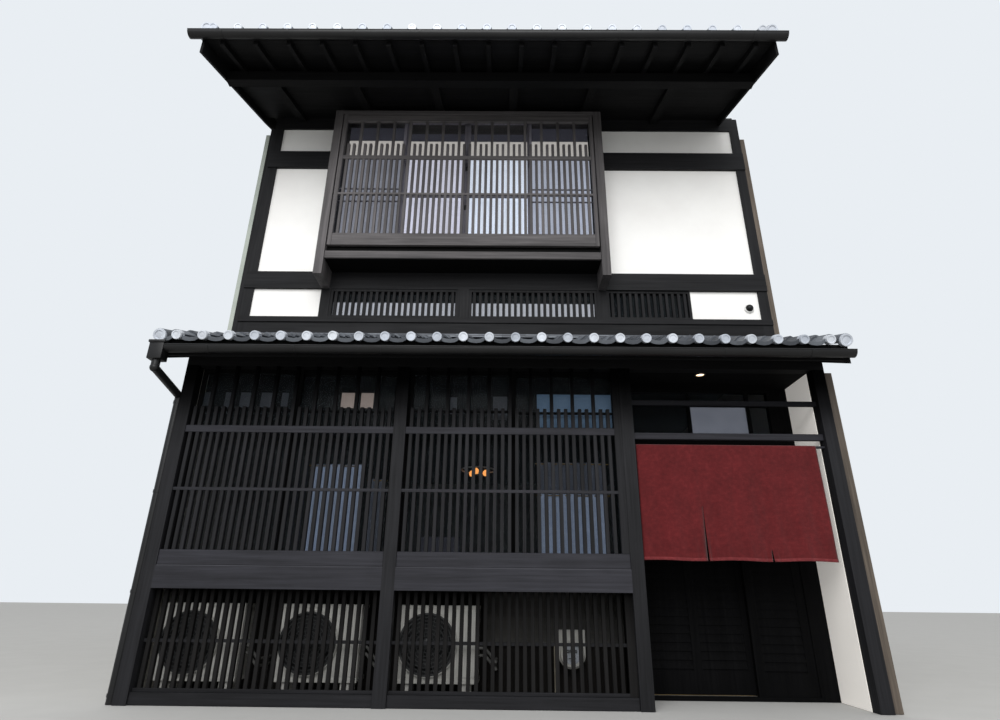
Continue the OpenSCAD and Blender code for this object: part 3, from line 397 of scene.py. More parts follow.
def addTurned(bm, outline, place, steps, material=0, closed=False):
    # an outline of radius and height, spun around the local Z axis
    verts = [bm.verts.new((radius, 0, height)) for radius, height in outline]
    edges = [bm.edges.new(pair) for pair in zip(verts, verts[1:])]
    if closed:
        edges.append(bm.edges.new((verts[-1], verts[0])))
    before = set(bm.faces)
    bmesh.ops.spin(bm, geom=verts + edges, cent=(0, 0, 0), axis=(0, 0, 1), angle=math.tau, steps=steps, use_merge=True)
    found = list({vert for face in bm.faces if face not in before for vert in face.verts})
    bmesh.ops.remove_doubles(bm, verts=found, dist=0.00001)
    faces = [face for face in bm.faces if face not in before]
    bmesh.ops.recalc_face_normals(bm, faces=faces)
    for face in faces:
        face.material_index = material
    bmesh.ops.transform(bm, matrix=place, verts=list({vert for face in faces for vert in face.verts}))


def facing(point):  # local Z of a turned shape looks out to the street
    return Matrix.Translation(point) @ turned(90, "X")


def meshOf(bm, name):
    mesh = bpy.data.meshes.new(name)
    bm.to_mesh(mesh)
    bm.free()
    return mesh


def lay(bm, mesh, place):  # a copy of a mesh, set at a place
    mesh.transform(place)
    bm.from_mesh(mesh)
    mesh.transform(place.inverted())


def piece(name, bm, finishes, slot=None, stands=(), body="house", smooth=None):
    mesh = meshOf(bm, name)
    made = bpy.data.objects.new(name, mesh)
    scene.collection.objects.link(made)
    for finish in finishes:
        mesh.materials.append(finish)
    if smooth:
        mesh.polygons.foreach_set("use_smooth", [True] * len(mesh.polygons))
        mesh.set_sharp_from_angle(angle=math.radians(smooth))
    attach(made, body)
    if stands:
        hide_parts(*stands)
    return made


def timber(name, bm, finishes, *stands):
    return piece(name, bm, finishes, slot="dark_timber", stands=stands)


def blockPiece(name, finishes, blocks, **settings):
    bm = bmesh.new()
    for block in blocks:
        addBlock(bm, *block)
    return piece(name, bm, finishes, **settings)


def toned(name, bm, tones, finishes=(smokedTile, tileEndHighlight), **settings):  # tiles that differ in tone, face by face
    made = piece(name, bm, finishes, slot="roof_tile", **settings)
    made.data.attributes.new("tone", "FLOAT", "FACE").data.foreach_set("value", tones(len(made.data.polygons)))
    return made


# studio floor
bm = bmesh.new()
bmesh.ops.create_grid(bm, x_segments=4, y_segments=4, size=studio["floorHalf"],
                      matrix=Matrix.Translation((0, 0, studio["floorZ"])))
floor = piece("studioFloor", bm, [floorPaint])
floor.parent = None
floor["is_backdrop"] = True

# roof tiles: a pan and a roll in one piece, laid in courses up each slope
tiles = {"outline": ((0, 0.02), (0.14, 0.01), (0.32, 0.006), (0.5, 0.01), (0.63, 0.026), (0.73, 0.05),
                     (0.83, 0.062), (0.93, 0.053), (1.02, 0.034)),
         "length": 0.285, "exposure": 0.235, "thick": 0.015, "lift": 0.017, "jitter": 0.0015, "twist": 0.35,
         "lip": (0, 0.004, -0.032), "endRadius": 0.041, "endPlace": 0.83, "endTop": 0.066, "overhang": 0.05}


def pull(bm, edges, step):  # a strip drawn out of edges
    bmesh.ops.translate(bm, vec=step, verts=vertsOf(bmesh.ops.extrude_edge_only(bm, edges=edges)["geom"]))


def tileShape(width, eave):
    bm = bmesh.new()
    verts = [bm.verts.new((u * width, 0, height)) for u, height in tiles["outline"]]
    edges = [bm.edges.new(pair) for pair in zip(verts, verts[1:])]
    pull(bm, edges, (0, tiles["length"], 0))
    if eave:  # lip that hangs from the lower edge
        pull(bm, edges, tiles["lip"])
    bmesh.ops.recalc_face_normals(bm, faces=bm.faces)
    if sum(face.normal.z for face in bm.faces) < 0:
        bmesh.ops.reverse_faces(bm, faces=bm.faces)
    bmesh.ops.solidify(bm, geom=bm.faces[:], thickness=tiles["thick"])
    if eave:  # round end under the roll, in the lighter copy of the tile: a painted highlight
        radius = tiles["endRadius"]
        centre = Vector((tiles["endPlace"] * width, -0.006, tiles["endTop"] - radius))
        addTurned(bm, [(0, 0.01), (radius * 0.62, 0.009), (radius * 0.7, 0.014), (radius * 0.94, 0.014),
                       (radius, 0.006), (radius, -0.05), (0, -0.05)], facing(centre), 20, material=1)
    return meshOf(bm, "tileShape")


def courseRows(eavePoint, pitch, ridgeY, length):
    slope = math.atan(pitch)
    run = abs(ridgeY - eavePoint[1]) / math.cos(slope) + tiles["overhang"]
    rows = round((run - length) / tiles["exposure"]) + 1
    return slope, rows, (run - length) / (rows - 1)


def layCourses(name, eavePoint, pitch, firstX, width, columns, ridgeY, back=False):
    slope, rows, exposure = courseRows(eavePoint, pitch, ridgeY, tiles["length"])
    shapes = {True: tileShape(width, True), False: tileShape(width, False)}
    tilt = math.atan(tiles["lift"] / tiles["exposure"])
    bm = bmesh.new()
    tones = []
    for row in range(rows):
        for column in range(columns):
            shape = shapes[row == 0]
            x = (-1 if back else 1) * (firstX + column * width) - tiles["endPlace"] * width
            place = (Matrix.Translation(eavePoint) @ turned(180 if back else 0, "Z") @ Matrix.Translation((x, 0, 0))
                     @ Matrix.Rotation(slope, 4, "X")
                     @ Matrix.Translation((0, -tiles["overhang"] + row * exposure,
                                           tiles["lift"] + random.uniform(-1, 1) * tiles["jitter"]))
                     @ Matrix.Rotation(-tilt, 4, "X") @ turned(random.uniform(-tiles["twist"], tiles["twist"]), "Z"))
            lay(bm, shape, place)
            tones += [random.random()] * len(shape.polygons)
    made = toned(name, bm, lambda count: tones, smooth=38)
    print(name, rows, "courses,", len(made.data.polygons), "faces")


lowSlab, highSlab, rearSlab = (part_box(name) for name in ("lower_roof", "upper_roof_front", "upper_roof_rear"))
pitchLow, pitchHigh = 0.42, 0.41
lowTop, highTop = 0.075, 0.15
lowY, wallY, eaveY, ridgeY = lowSlab[0].y, lowSlab[1].y, highSlab[0].y, highSlab[1].y
lowEave = (0, lowY, lowSlab[0].z + lowTop)
highEave = (0, eaveY, highSlab[0].z + highTop)
rearEave = (0, rearSlab[1].y, rearSlab[0].z + highTop)
layCourses("lowerTiles", lowEave, pitchLow, -2.7659, 0.21992, 26, wallY - 0.02)
layCourses("upperTilesFront", highEave, pitchHigh, -2.88, 0.24418, 23, ridgeY - 0.09)
layCourses("upperTilesRear", rearEave, pitchHigh, -2.88, 0.24418, 23, ridgeY + 0.09, back=True)

# boards and timbers under the tiles: thin at the front eave, with their ends clear of the corners
roofEnds = {"low": (lowSlab[0].x, 2.875), "high": (-2.975, 2.615), "board": 0.025, "seat": 0.0003}
upperEave = {"lift": 0.08, "rafterDeep": 0.06, "rafterWide": 0.045, "rafterEdge": 0.17, "rafterStep": 0.328,
             "rafters": 17, "purlinY": (-0.322, -0.227), "purlinDeep": 0.12, "ceiling": 0.012, "armDeep": 0.06,
             "armWide": 0.095, "armEdge": 0.795, "armStep": 0.87, "arms": 6, "boardDrop": 0.165}
wallUnder = highSlab[0].z + pitchHigh * (wallY - eaveY)
eaveUnder = highSlab[0].z + upperEave["lift"]
ridgeUnder = highSlab[1].z - highTop


def soffit(y, drop=0.0):  # point under the boards of the upper eave
    return (y, eaveUnder + (wallUnder - eaveUnder) * (y - eaveY) / (wallY - eaveY) - drop)


def lowUnder(y, drop=0.0):
    return (y, lowSlab[0].z + pitchLow * (y - lowY) - drop)


bm = bmesh.new()
addOutline(bm, *roofEnds["high"], [soffit(eaveY), soffit(wallY), (ridgeY, ridgeUnder), (ridgeY, highSlab[1].z),
                                   highEave[1:]])
piece("upperRoofFront", bm, [eaveShadedAcross], slot="roof_tile", stands=["upper_roof_front"])
bm = bmesh.new()
addOutline(bm, *roofEnds["high"], [(ridgeY, ridgeUnder), (rearEave[1], rearSlab[0].z), rearEave[1:],
                                   (ridgeY, highSlab[1].z)])
piece("upperRoofRear", bm, [eaveShadedAcross], slot="roof_tile", stands=["upper_roof_rear"])
bm = bmesh.new()
addSloped(bm, roofEnds["low"], (lowY, wallY), (lowUnder, 0.0), (lowUnder, -lowTop))
piece("lowerRoof", bm, [eaveShadedAcross], slot="roof_tile", stands=["lower_roof"])

bm = bmesh.new()
deep, half = upperEave["rafterDeep"], upperEave["rafterWide"] / 2
for rafter in range(upperEave["rafters"]):
    x = roofEnds["high"][0] + upperEave["rafterEdge"] + rafter * upperEave["rafterStep"]
    addSloped(bm, (x - half, x + half), (eaveY + 0.015, wallY + 0.1), (soffit, deep), (soffit, roofEnds["seat"]))
timber("upperRafters", bm, [eaveShadedBack], "upper_rafters")
bm = bmesh.new()
y0, y1 = upperEave["purlinY"]
foot = soffit(y0, deep + upperEave["purlinDeep"])[1]
addOutline(bm, *roofEnds["high"], [(y0, foot), (y1, foot), soffit(y1, deep), soffit(y0, deep)])
timber("eavePurlin", bm, [eaveShadedAcross], "eave_purlin")
bm = bmesh.new()
drop = deep + upperEave["ceiling"]
addSloped(bm, roofEnds["high"], (y1, wallY), (soffit, drop), (soffit, deep))
timber("eaveCeiling", bm, [eaveShadedAcross], "eave_ceiling")
bm = bmesh.new()
half = upperEave["armWide"] / 2
for arm in range(upperEave["arms"]):
    x = roofEnds["high"][1] - upperEave["armEdge"] - arm * upperEave["armStep"]
    addSloped(bm, (x - half, x + half), (y1, wallY), (soffit, drop + upperEave["armDeep"]), (soffit, drop))
timber("eaveArms", bm, [eaveShadedBack], "eave_arms")

# lower eave: fascia and rafters down to the eave beam
lowerEave = {"fasciaDeep": 0.07, "fasciaThick": 0.015, "rafterX": 2.695, "rafters": 17, "rafterDeep": 0.06,
             "rafterHalf": 0.0225, "beamY": 0.0525}
bm = bmesh.new()
y0, half = lowY + lowerEave["fasciaThick"], lowerEave["rafterHalf"]
addBlock(bm, (roofEnds["low"][0], lowY, lowSlab[0].z - lowerEave["fasciaDeep"]),
         (roofEnds["low"][1], y0, lowSlab[0].z - roofEnds["seat"]), 1)
for rafter in range(lowerEave["rafters"]):
    x = lowerEave["rafterX"] * (2 * rafter / (lowerEave["rafters"] - 1) - 1)
    addSloped(bm, (x - half, x + half), (y0, lowerEave["beamY"]), (lowUnder, lowerEave["rafterDeep"]),
              (lowUnder, roofEnds["seat"]))
timber("lowerRafters", bm, [eaveShadedBack, eaveShadedAcross], "lower_rafters")

# barge boards down the ends of both roofs; over the right wall only their upper edge shows
barge = {"edge": 0.015, "rearDrop": 0.085, "lowDrop": 0.095, "flashing": 0.02}
thick, wallBack = roofEnds["board"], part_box("rear_timbers")[1].y


def slopeTop(y, drop=0.0):
    return (y, highSlab[1].z - pitchHigh * abs(y - ridgeY) - barge["edge"] - drop)


def slopeUnder(y, drop=0.0):
    return (y, ridgeUnder - pitchHigh * abs(y - ridgeY) - drop)


bm = bmesh.new()
for x in (roofEnds["high"][0] - thick, roofEnds["high"][1]):
    covered = x > 0
    for ys, line, drop in (((eaveY, wallY), soffit, upperEave["boardDrop"]),
                           ((wallY, ridgeY), slopeUnder, 0.0 if covered else upperEave["boardDrop"]),
                           ((ridgeY, wallBack), slopeUnder, 0.0 if covered else barge["rearDrop"]),
                           ((wallBack, rearEave[1]), slopeUnder, barge["rearDrop"])):
        addSloped(bm, (x, x + thick), ys, (line, drop), (slopeTop, 0.0))
for x in (roofEnds["low"][0] - thick, roofEnds["low"][1]):
    addSloped(bm, (x, x + thick), (lowY, wallY), (lowUnder, barge["lowDrop"]), (lowUnder, barge["edge"] - lowTop))
timber("bargeBoards", bm, [eaveShadedBack], "barge_boards")
bm = bmesh.new()
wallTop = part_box("wall_flashing")
for near in (wallTop[0].y, wallTop[1].y):
    addSloped(bm, (roofEnds["high"][1] + thick, wallTop[1].x), (near, ridgeY), (slopeUnder, 0.0),
              (slopeUnder, -barge["flashing"]))
piece("wallFlashing", bm, [blackMetal], slot="black_metal", stands=["wall_flashing"])

# gutters: half-round troughs with a rolled front edge, hung in bands, and the downpipe
gutter = {"radius": 0.052, "thick": 0.004, "bead": 0.006, "bandStep": 0.64, "bandHalf": 0.01, "bandThick": 0.003,
          "highZ": 5.86, "headX": (-2.955, -2.835), "low": 2.912, "high": (-3.106, 2.723)}


def addTrough(bm, x0, x1, y, z, radius, thick, ends):
    for cap, low, high in [(False, x0, x1)] + [(True, x, x + 0.004) for x in ends]:
        ring = bmesh.new()
        bmesh.ops.create_cone(ring, cap_ends=cap, segments=40, radius1=radius, radius2=radius, depth=high - low,
                              matrix=Matrix.Translation(((low + high) / 2, y, z)) @ turned(90, "Y"))
        bmesh.ops.bisect_plane(ring, geom=ring.verts[:] + ring.edges[:] + ring.faces[:], plane_co=(0, y, z),
                               plane_no=(0, 0, 1), clear_outer=True)
        if cap:
            bmesh.ops.holes_fill(ring, edges=ring.edges)
        bmesh.ops.recalc_face_normals(ring, faces=ring.faces)
        if not cap:
            bmesh.ops.solidify(ring, geom=ring.faces[:], thickness=thick)
        bm.from_mesh(meshOf(ring, "trough"))


bm = bmesh.new()
radius, half = gutter["radius"], gutter["bandHalf"]
lowLine = lowY - radius
for x0, x1, y, z, side in ((gutter["headX"][1], gutter["low"], lowLine, lowSlab[0].z - 0.01, -1),
                           (*gutter["high"], eaveY - radius, gutter["highZ"], -1),
                           (*gutter["high"], rearEave[1] + radius, rearSlab[0].z + 0.105, 1)):
    addTrough(bm, x0, x1, y, z, radius, gutter["thick"], (x0, x1 - gutter["thick"]))
    bands = math.floor((x1 - x0) / gutter["bandStep"])
    for band in range(bands):
        x = x0 + (band + 0.5) * (x1 - x0) / bands
        addTrough(bm, x - half, x + half, y, z, radius + gutter["bandThick"], gutter["bandThick"], ())
        addBlock(bm, (x - half, y - radius, z - 0.006), (x + half, y + radius, z - 0.001))
    y += side * (radius - 0.002)
    addRod(bm, (x0, y, z), (x1, y, z), gutter["bead"], 10)
piece("gutterRuns", bm, [blackMetal], slot="black_metal", stands=["gutters"], smooth=40)

downpipe = {"radius": 0.034, "collar": 0.038, "headLow": 2.565, "headTop": 2.73, "rim": 0.022, "knee": 2.5,
            "bend": 2.4, "x": -2.898, "straps": (2.34, 1.56, 0.78, 0.06), "strapHalf": 0.012}
bm = bmesh.new()
headLow, headHigh = gutter["headX"]
headX, pipeX = (headLow + headHigh) / 2, downpipe["x"]
addBlock(bm, (headLow, lowLine - radius, downpipe["headLow"]), (headHigh, lowLine + radius, downpipe["headTop"]),
         bevel=0.006)
addBlock(bm, (headLow - 0.008, lowLine - radius - 0.008, downpipe["headTop"] - downpipe["rim"]),
         (headHigh + 0.008, lowLine + radius - 0.001, downpipe["headTop"]), bevel=0.003)
knee, bend = Vector((headX, lowLine, downpipe["knee"])), Vector((pipeX, 0, downpipe["bend"]))
for start, end in ((knee, (headX, lowLine, downpipe["headLow"] + 0.002)), (bend, knee), ((pipeX, 0, 0), bend)):
    addRod(bm, start, end, downpipe["radius"], 28)
for centre in (knee, bend):
    bmesh.ops.create_uvsphere(bm, u_segments=24, v_segments=14, radius=downpipe["collar"],
                              matrix=Matrix.Translation(centre))
for z in downpipe["straps"]:
    addRod(bm, (pipeX, 0, z - downpipe["strapHalf"]), (pipeX, 0, z + downpipe["strapHalf"]), downpipe["collar"], 28)
piece("rainPipe", bm, [blackMetal], slot="black_metal", stands=["downpipe"], smooth=40)
print("eaves and rain goods")

# verge rolls: half-round caps that step down each end of the slopes
verge = {"radius": 0.062, "taper": 0.006, "thick": 0.015, "length": 0.262, "lift": 0.012, "rise": 0.035,
         "endRadius": 0.056, "endTone": 0.6, "cut": -0.01}


def capShape():
    bm = bmesh.new()
    bmesh.ops.create_cone(bm, cap_ends=False, segments=20, radius1=verge["radius"],
                          radius2=verge["radius"] - verge["taper"], depth=verge["length"],
                          matrix=turned(-90, "X") @ Matrix.Translation((0, 0, verge["length"] / 2)))
    bmesh.ops.bisect_plane(bm, geom=bm.verts[:] + bm.edges[:] + bm.faces[:], plane_co=(0, 0, verge["cut"]),
                           plane_no=(0, 0, 1), clear_inner=True)
    bmesh.ops.recalc_face_normals(bm, faces=bm.faces)
    bmesh.ops.solidify(bm, geom=bm.faces[:], thickness=verge["thick"])
    return meshOf(bm, "capShape")


def layVerge(name, x, eavePoint, pitch, ridgeY, back=False):
    slope, rows, exposure = courseRows(eavePoint, pitch, ridgeY, verge["length"])
    tilt = math.atan(verge["lift"] / exposure)
    cap = capShape()
    bm = bmesh.new()
    tones, places = [], []
    for row in range(rows):
        places.append(Matrix.Translation((x, *eavePoint[1:])) @ turned(180 if back else 0, "Z")
                      @ Matrix.Rotation(slope, 4, "X")
                      @ Matrix.Translation((0, row * exposure - tiles["overhang"], verge["rise"]))
                      @ Matrix.Rotation(-tilt, 4, "X"))
        lay(bm, cap, places[-1])
        tones += [random.random()] * len(cap.polygons)
    radius = verge["endRadius"]
    # the end disc takes the lighter copy of the tile, a painted highlight
    addTurned(bm, [(0, 0.014), (radius * 0.6, 0.012), (radius * 0.7, 0.019), (radius * 0.94, 0.019), (radius, 0.008),
                   (radius, -0.03), (0, -0.03)], places[0] @ facing((0, 0.004, 0.004)), 24, material=1)
    toned(name, bm, lambda count: tones + [verge["endTone"]] * (count - len(tones)), smooth=38)


layVerge("lowerVergeLeft", roofEnds["low"][0] + 0.015, lowEave, pitchLow, wallY - 0.02)
layVerge("lowerVergeRight", roofEnds["low"][1] - 0.015, lowEave, pitchLow, wallY - 0.02)
for side, vergeX in (("Left", roofEnds["high"][0] + 0.03), ("Right", roofEnds["high"][1] - 0.03)):
    layVerge("upperVergeFront" + side, vergeX, highEave, pitchHigh, ridgeY - 0.1)
    layVerge("upperVergeRear" + side, vergeX, rearEave, pitchHigh, ridgeY + 0.1, back=True)
print("roofs tiled")

# ridge: flat courses that step over one another, a rolled cap in lengths, and plain end tiles
ridgeTile = {"courses": 5, "step": 0.036, "thick": 0.014, "half": 0.134, "lean": 0.02, "deep": 0.05, "gap": 0.0015,
             "unit": 0.252, "capRadius": 0.088, "capDrop": 0.08, "core": (0.1, -0.05, 0.19),
             "end": (0.17, -0.06, 0.2), "endThick": 0.05, "rolls": ((0.004, 0.13, 28), (0.012, 0.075, 24))}
ridgeLow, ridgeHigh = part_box("ridge")
ridgeLow.x, ridgeHigh.x = roofEnds["high"]
bm = bmesh.new()
units = round((ridgeHigh.x - ridgeLow.x) / ridgeTile["unit"])
unitX = (ridgeHigh.x - ridgeLow.x) / units
baseZ, gap = highSlab[1].z, ridgeTile["gap"]
half, low, high = ridgeTile["core"]
addBlock(bm, (ridgeLow.x, ridgeY - half, baseZ + low), (ridgeHigh.x, ridgeY + half, baseZ + high))
for course in range(ridgeTile["courses"]):
    z = baseZ - 0.004 + course * ridgeTile["step"]
    half = ridgeTile["half"] - ridgeTile["lean"] * course / ridgeTile["courses"]
    for unit in range(units):
        x = ridgeLow.x + unit * unitX + (unitX / 2 if course % 2 and unit else 0)
        x1 = min(ridgeHigh.x, ridgeLow.x + (unit + 1) * unitX + (unitX / 2 if course % 2 else 0))
        for side in (-1, 1):
            ys = sorted((ridgeY + side * half, ridgeY + side * (half - ridgeTile["deep"])))
            addBlock(bm, (x + gap, ys[0], z), (x1 - gap, ys[1], z + ridgeTile["thick"]))
capZ, radius = ridgeHigh.z - ridgeTile["capDrop"], ridgeTile["capRadius"]
for unit in range(units):
    x = ridgeLow.x + unit * unitX
    addRod(bm, (x, ridgeY, capZ), (x + unitX + 0.01, ridgeY, capZ), radius - 0.004, 20)
    addRod(bm, (x, ridgeY, capZ), (x + 0.035, ridgeY, capZ), radius + 0.004, 20)
half, low, high = ridgeTile["end"]
for x in (ridgeLow.x - 0.03, ridgeHigh.x - 0.02):
    x1 = x + ridgeTile["endThick"]
    addBlock(bm, (x, ridgeY - half, baseZ + low), (x1, ridgeY + half, baseZ + high), bevel=0.012)
    for proud, radius, segments in ridgeTile["rolls"]:
        addRod(bm, (x - proud, ridgeY, baseZ + 0.19), (x1 + proud, ridgeY, baseZ + 0.19), radius, segments)


def unitTones(count, faces):  # one tone for every so many faces
    return [tone for _ in range(math.ceil(count / faces)) for tone in [random.random()] * faces][:count]


toned("ridgeTiles", bm, lambda count: unitTones(count, 6), [smokedTile], stands=["ridge"], smooth=35)

# flat courses where the lower roof meets the wall
wallCourse = {"units": 24, "courses": 2, "back": 0.02, "deep": 0.09, "low": 0.03, "thick": 0.015, "step": (0.02, 0.028)}
bm = bmesh.new()
unitX = (roofEnds["low"][1] - roofEnds["low"][0]) / wallCourse["units"]
for course in range(wallCourse["courses"]):
    y, z = (step * course for step in wallCourse["step"])
    z += lowSlab[1].z + wallCourse["low"]
    for unit in range(wallCourse["units"]):
        x = roofEnds["low"][0] + unit * unitX
        addBlock(bm, (x + 0.001, wallY - wallCourse["back"] - wallCourse["deep"] + y, z),
                 (x + unitX - 0.001, wallY - wallCourse["back"], z + wallCourse["thick"]))
toned("wallCourses", bm, lambda count: unitTones(count, 1), [smokedTile])
print("ridge and wall courses")

# lattices of long and short bars on rails, with the sill and the beam that hold them
bars = {"wide": 0.03, "deep": 0.036, "inset": 0.004, "ease": 0.002, "railDeep": 0.02, "thinHigh": 0.024,
        "thinDeep": 0.018, "thinInset": 0.002}
front = {"bays": ((-2.755, -0.953, -0.953), (-0.848, 0.954, 1.017)), "cells": 10, "sill": 0.085, "waist": 0.805,
         "waistTop": 0.98, "latticeFoot": 1.095, "short": 2.3, "long": 2.68, "rail": (2.065, 2.125),
         "thinRail": 1.58, "lowFoot": (0.085, 0.11), "lowRail": 0.432, "edge": 0.008, "inset": 0.006,
         "lowInset": 0.04, "stileDeep": 0.04, "sillInset": 0.015}
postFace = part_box("street_posts")[0].y


def addLattice(bm, x0, x1, foot, high, short, cells, face, rails, thin, thinInset=bars["thinInset"]):
    step = (x1 - x0 + bars["wide"]) / (3 * cells)
    near, far, half = face + bars["inset"], face + bars["inset"] + bars["deep"], bars["thinHigh"] / 2
    for bar in range(1, 3 * cells):
        x = x0 + bar * step - bars["wide"]
        addBlock(bm, (x, near, foot), (x + bars["wide"], far, short if bar % 3 else high), 0, bars["ease"], 1)
    low, top = rails
    addBlock(bm, (x0, face, low), (x1, face + bars["railDeep"], top), 1, bars["ease"], 1)
    addBlock(bm, (x0, face + thinInset, thin - half), (x1, face + thinInset + bars["thinDeep"], thin + half), 1)


bm = bmesh.new()
face = postFace + front["inset"]
for x0, x1, stile in front["bays"]:
    addLattice(bm, x0, x1, front["latticeFoot"], front["long"], front["short"], front["cells"], face, front["rail"],
               front["thinRail"])
    if stile > x1:
        addBlock(bm, (x1, face, front["latticeFoot"]), (stile, face + front["stileDeep"], front["long"]))
timber("streetLattices", bm, [grainUp, grainAcross], "street_lattices")
bm = bmesh.new()
face = postFace + front["lowInset"]
for x0, x1, stile in front["bays"]:
    addLattice(bm, x0, x1, front["sill"], front["waist"], front["waist"], front["cells"], face, front["lowFoot"],
               front["lowRail"], bars["inset"] + bars["deep"] - bars["thinDeep"])
    if stile > x1:
        addBlock(bm, (x1, face, front["sill"]), (stile, face + front["stileDeep"], front["waist"]))
    addBlock(bm, (x0, postFace + front["sillInset"], 0), (stile, -postFace, front["sill"]), 1, 0.004, 1)
timber("lowLattices", bm, [lowUp, lowAcross], "low_lattices", "ground_sill")
bm = bmesh.new()
edge, low, top = front["edge"], front["waist"], front["waistTop"]
for x0, x1, stile in front["bays"]:
    addOutline(bm, x0, stile, [(postFace, low), (-postFace, low), (-postFace, top), (postFace + edge, top),
                               (postFace, top - edge)])
    addBlock(bm, (x0, postFace + edge, top), (stile, -postFace, front["latticeFoot"]), 0, 0.003, 1)
for face in bm.faces:  # the upper chamfer takes a lighter coat: a painted highlight
    if face.normal.y < -0.3 and face.normal.z > 0.3 and face.calc_area() > 0.01:
        face.material_index = 1
timber("waistBeam", bm, [grainAcross, chamferHighlight], "waist_beam", "lattice_sill")

# bay window: lattice, base board over a shadow gap, and glazed sashes close behind the bars
bay = {"ends": (-1.92, 1.02), "bars": (-1.863, 0.968), "face": 0.3735, "frameDeep": 0.04, "foot": 4.388,
       "head": 5.94, "short": 5.61, "cells": 15, "rail": (5.385, 5.435), "thinRail": 4.906, "railLow": 4.238,
       "under": 6.045, "topGap": 0.026, "groove": 0.011,
       "boards": ((0.006, 0.034, 4.08, 4.168), (0.034, None, 4.09, 4.135), (0.056, 0.074, 4.135, 4.338))}
bm = bmesh.new()
addLattice(bm, *bay["bars"], bay["foot"], bay["head"], bay["short"], bay["cells"], bay["face"], bay["rail"],
           bay["thinRail"])
far, groove = bay["face"] + bay["frameDeep"], bay["groove"]
for x0, x1 in ((bay["ends"][0] + groove, bay["bars"][0]), (bay["bars"][1], bay["ends"][1] - groove)):
    addBlock(bm, (x0, bay["face"], bay["railLow"]), (x1, far, bay["under"]), 0, 0.003, 1)
for low, high in ((bay["railLow"], bay["foot"]), (bay["head"], bay["under"] - bay["topGap"])):
    addBlock(bm, (bay["bars"][0], bay["face"] + 0.001, low), (bay["bars"][1], far, high), 1, 0.003, 1)
timber("bayLattice", bm, [bayUp, bayAcross], "bay_lattice")
bm = bmesh.new()
x0, x1 = bay["ends"]
# the boards behind the base board, in the gap and under the bay, are near-black: painted shade
for board, (near, back, low, high) in enumerate(bay["boards"]):
    y = bay["face"] + back if back else wallY
    addBlock(bm, (x0, bay["face"] + near, low), (x1, y, high), min(board, 1), 0 if board else 0.005, 1)
timber("bayFloor", bm, [bayAcross, paintedShadeBoard], "bay_floor")

sash = {"y": (0.4505, 0.4825), "deep": 0.028, "low": 4.137, "wide": 0.036, "rail": 4.96, "railHalf": 0.011,
        "lap": 0.02, "thin": (5.035, 4.865), "thinHalf": 0.006, "glass": (0.012, 0.016)}
bm = bmesh.new()
step, wide, low, high = (x1 - x0) / 4, sash["wide"], sash["low"], bay["under"]
for screen in range(4):
    outer = screen in (0, 3)
    a = x0 + screen * step - (sash["lap"] if screen == 3 else 0)
    b = x0 + (screen + 1) * step + (sash["lap"] if screen == 0 else 0)
    y, left, right = sash["y"][0 if outer else 1], a + wide, b - wide
    for xa, za, xb, zb in ((a, low, left, high), (right, low, b, high), (left, low, right, low + wide),
                           (left, high - wide, right, high),
                           (left, sash["rail"] - sash["railHalf"], right, sash["rail"] + sash["railHalf"])):
        addBlock(bm, (xa, y, za), (xb, y + sash["deep"], zb), 0, 0.002, 1)
    for z in sash["thin"] if outer else ():
        addBlock(bm, (left, y + 0.006, z - sash["thinHalf"]), (right, y + 0.02, z + sash["thinHalf"]))
    addBlock(bm, (left, y + sash["glass"][0], low + wide), (right, y + sash["glass"][1], high - wide), 1)
timber("baySashes", bm, [sashUp, paneGlass])

# entrance rails and the curtain's pole
entrance = {"x": (1.122, 2.755), "rails": ((0.02, 2.042, 2.098, 0.004), (0.014, 2.35, 2.395, 0.003)),
            "poleRadius": 0.011}
x0, x1 = entrance["x"]
blockPiece("entranceRails", [grainAcross], [((x0, -deep, low), (x1, deep, high), 0, bevel)
                                            for deep, low, high, bevel in entrance["rails"]],
           slot="dark_timber", stands=["entrance_rails"])
# entrance curtain: three panels of linen on the pole, parted by two slits
noren = {"leftTop": 1.136, "rightTop": 2.676, "leftFoot": 1.132, "rightFoot": 2.685, "poleZ": 1.985, "foot": 1.052,
         "wrap": 0.0135, "back": 0.03, "slits": ((1 / 3, 1.49), (2 / 3, 1.16)), "across": 96, "down": 72,
         "thick": 0.0014, "hem": 0.024, "hemThick": 0.0024, "hemStep": (0, -0.0022, -0.001)}
hang = noren["poleZ"] - noren["foot"]
bm = bmesh.new()
addRod(bm, (x0, 0, noren["poleZ"]), (x1, 0, noren["poleZ"]), entrance["poleRadius"], 20)
norenPole = piece("norenPole", bm, [grainAcross], slot="dark_timber", stands=["curtain_pole"], smooth=40)
norenLength = hang + math.pi * noren["wrap"] + noren["back"]
norenWidth = noren["rightTop"] - noren["leftTop"]


